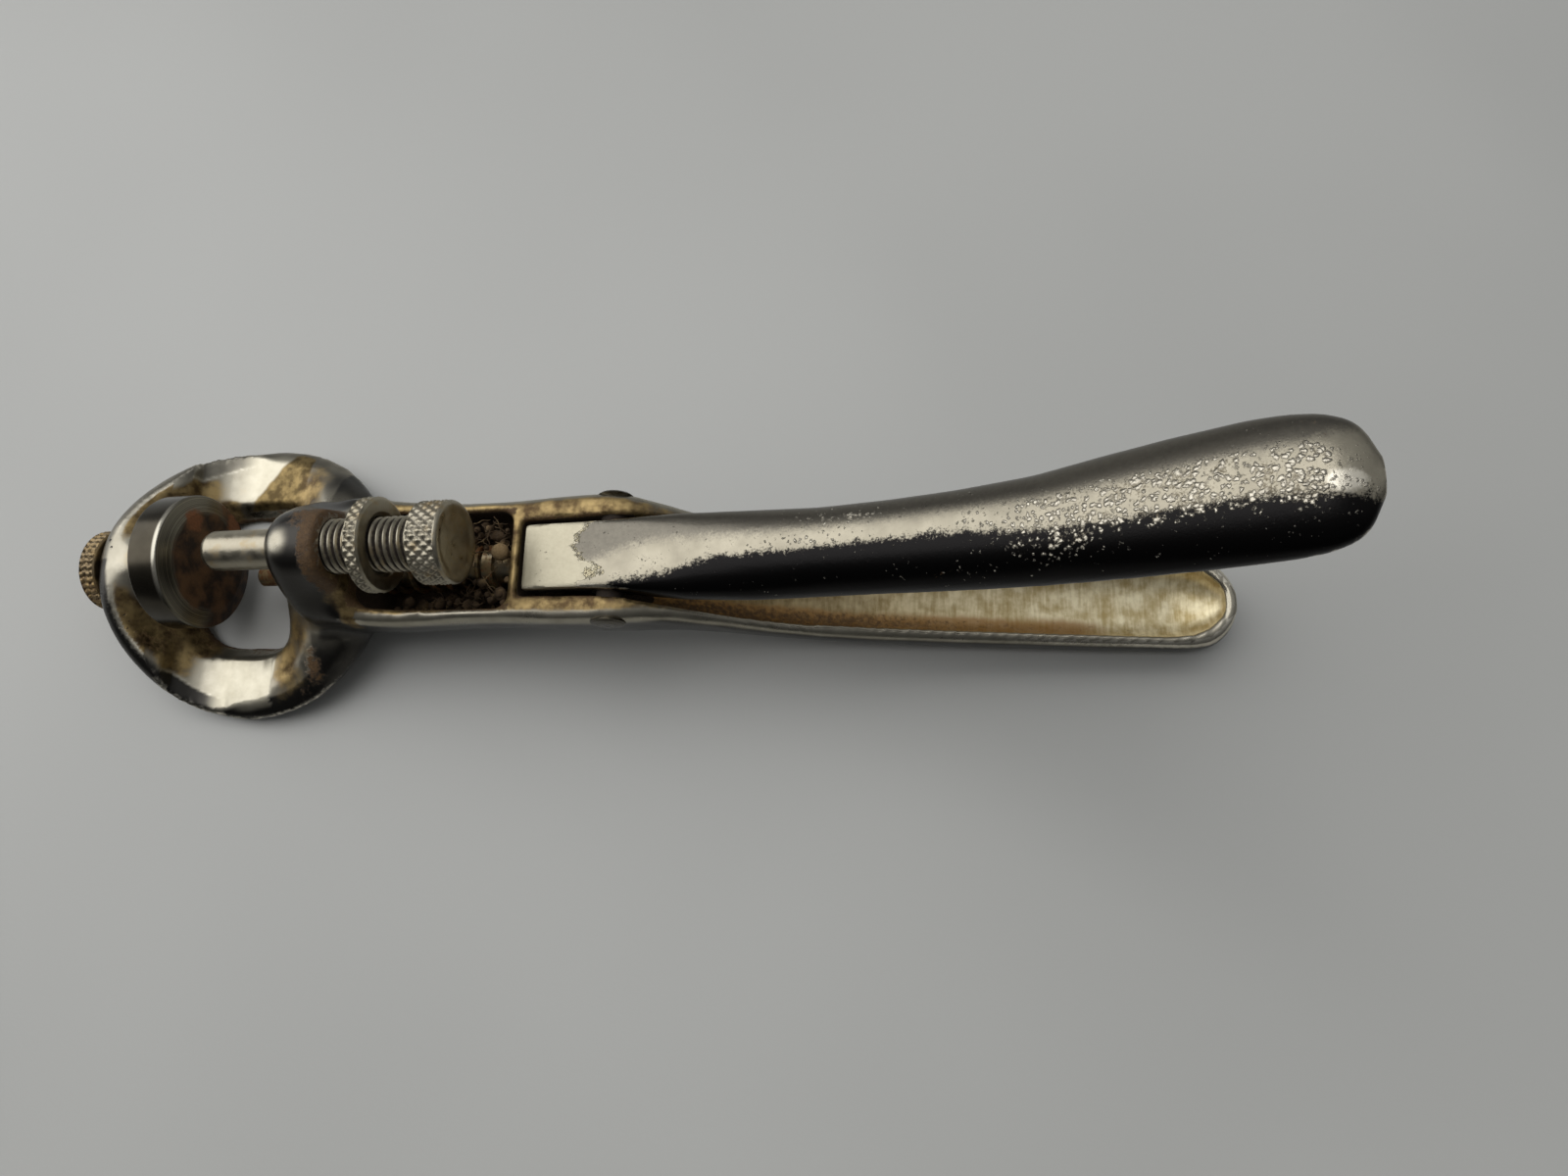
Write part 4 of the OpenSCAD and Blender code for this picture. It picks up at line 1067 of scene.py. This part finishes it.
class SAWSET_OT_lint(bpy.types.Operator):
    """Packs sawdust and lint into the corners of the plunger's pocket"""

    bl_idname = "sawset.lint"
    bl_label = "Pocket lint"

    def execute(self, context):
        draw = random.Random(7)
        bm = bmesh.new()
        crumbs, fibres, reach = 150, 120, 0.45
        while crumbs:
            x, y = draw.uniform(27, 47.3), draw.uniform(-6.9, 6.9)
            pile = -9.5 + 4.4 * ease(x, 34, 45) + 1.2 * abs(y) / 7
            z = draw.uniform(-12, pile)
            r = draw.uniform(0.35, 0.95)
            if not clear_of_works(x, y, z, r * 1.15):
                continue
            middle = Vector((x, y, z))
            made = bmesh.ops.create_icosphere(bm, subdivisions=2, radius=r, matrix=Matrix.Translation(middle))
            for v in made["verts"]:
                v.co = middle + (v.co - middle) * (1 + 0.3 * noise.noise(v.co * 1.7))
            crumbs -= 1
        for _ in range(fibres):
            x, y = draw.uniform(34, 47), draw.uniform(-6.6, 6.6)
            at = Vector((x, y, -8.6 + 3.6 * ease(x, 36, 45) + draw.uniform(-0.8, 0.9)))
            way = Vector((draw.uniform(-1, 1), draw.uniform(-1, 1), draw.uniform(-0.3, 0.5))).normalized()
            points = []
            for _ in range(8):
                at = at + way * reach
                way = (way + Vector([draw.uniform(-0.5, 0.5) for _ in range(3)])).normalized()
                if not clear_of_works(*at, 0.12):
                    break
                points.append(at.copy())
            if len(points) > 2:
                self.fibre(bm, points)
        bmesh.ops.create_icosphere(bm, subdivisions=3, radius=1.3, matrix=Matrix.Translation(PALE_LUMP))
        seat(made_object(bm, "pocket_lint"), "casting", "spring_wire", lint_matter(), 180)
        return {"FINISHED"}

    def fibre(self, bm, points, radius=0.07):
        """Adds a closed square thread along the points."""
        rings = []
        for a, b in zip(points, points[1:]):
            turn = (b - a).to_track_quat("Z", "Y").to_matrix()
            rings.append([tuple(a + turn @ Vector((radius * math.cos(t), radius * math.sin(t), 0)))
                          for t in (0.5, 2.07, 3.64, 5.21)])
        thread = lofted("fibre", rings)
        bm.from_mesh(thread.data)
        bpy.data.meshes.remove(thread.data)


# ---------------------------------------------------------------- the stage


class SAWSET_OT_stage(bpy.types.Operator):
    """Lays the table, hangs the lights and sets the camera"""

    bl_idname = "sawset.stage"
    bl_label = "Table, light and camera"

    def execute(self, context):
        look, scene = context.scene.saw_set_look, context.scene
        bm = bmesh.new()
        bmesh.ops.create_grid(bm, x_segments=1, y_segments=1, size=3.0)
        floor = made_object(bm, "table")
        floor.data.materials.append(table_top(look))

        # one wide softbox above the far side of the nose
        key = bpy.data.lights.new("overhead softbox", "AREA")
        key.shape, key.size, key.size_y, key.energy = "RECTANGLE", 2.6, 1.1, look.key_power
        lamp = bpy.data.objects.new("overhead softbox", key)
        towards = (TURN.to_3x3() @ Vector((-90, 50, 150))).normalized()
        along = Vector((0, 1, 0)).cross(towards).normalized()
        axes = Matrix((along, towards.cross(along), towards)).transposed()
        lamp.matrix_world = Matrix.Translation(towards * 1.1) @ axes.to_4x4()
        scene.collection.objects.link(lamp)

        # a room brighter overhead and on the far side, while the camera sees a plain pale wall
        world = bpy.data.worlds.new("soft room")
        world.use_nodes = True
        world.node_tree.nodes.clear()
        node = partial(add, world.node_tree)
        _, side, up = node("SeparateXYZ", node("TexCoord", out="Generated")).node.outputs
        bright = node(TIMES, node(STEP, up, -0.1, 0.9, 0.3, 1.2), node(STEP, side, -0.6, 0.6, 0.26, 1.2))
        glow = node("Background", "#f2f4f6", node(TIMES, bright, look.sky))
        plain = node("Background", look.table, 0.8)
        seen = node("MixShader", node("LightPath", out="Is Camera Ray"), glow, plain)
        node("OutputWorld", seen)
        scene.world = world

        # the camera looks down at the open side, turned a little off the tool's own axes
        lens = bpy.data.cameras.new("camera")
        lens.sensor_width, lens.lens, lens.clip_start, lens.clip_end = 36.0, 25.8, 0.01, 20.0
        camera = bpy.data.objects.new("camera", lens)
        view = Matrix.Identity(3)
        for degrees, axis in ((-14.78, "X"), (-12.30, "Y"), (1.58, "Z")):
            view = Matrix.Rotation(math.radians(degrees), 3, axis) @ view
        view.transpose()
        eye = TOOL @ (-(view @ Vector((-87.27, 3.94, -169.29))))
        camera.matrix_world = Matrix.Translation(eye) @ (TURN.to_3x3() @ view).to_4x4()
        scene.collection.objects.link(camera)
        scene.camera = camera
        scene.view_settings.view_transform = "Standard"
        return {"FINISHED"}


class SAWSET_PT_panel(bpy.types.Panel):
    """Lists the pieces and the settings of the saw set"""

    bl_label = "Saw set"
    bl_idname = "SAWSET_PT_panel"
    bl_space_type = "VIEW_3D"
    bl_region_type = "UI"
    bl_category = "Saw set"

    def draw(self, context):
        for group in (context.scene.saw_set_sizes, context.scene.saw_set_look):
            box = self.layout.box()
            for name in group.__annotations__:
                box.prop(group, name)
        for piece in OPERATORS:
            self.layout.operator(piece.bl_idname)


OPERATORS = (SAWSET_OT_casting, SAWSET_OT_lever, SAWSET_OT_anvil, SAWSET_OT_anvil_nut, SAWSET_OT_gauge_screw,
             SAWSET_OT_lock_nut, SAWSET_OT_small_steel, SAWSET_OT_lint, SAWSET_OT_stage)
CLASSES = (SawSetSizes, SawSetLook, *OPERATORS, SAWSET_PT_panel)


def register():
    for cls in CLASSES:
        bpy.utils.register_class(cls)
    bpy.types.Scene.saw_set_sizes = PointerProperty(type=SawSetSizes)
    bpy.types.Scene.saw_set_look = PointerProperty(type=SawSetLook)


def unregister():
    del bpy.types.Scene.saw_set_look
    del bpy.types.Scene.saw_set_sizes
    for cls in reversed(CLASSES):
        bpy.utils.unregister_class(cls)


def main():
    register()
    for piece in OPERATORS:
        group, name = piece.bl_idname.split(".")
        getattr(getattr(bpy.ops, group), name)()


if __name__ == "__main__":
    main()
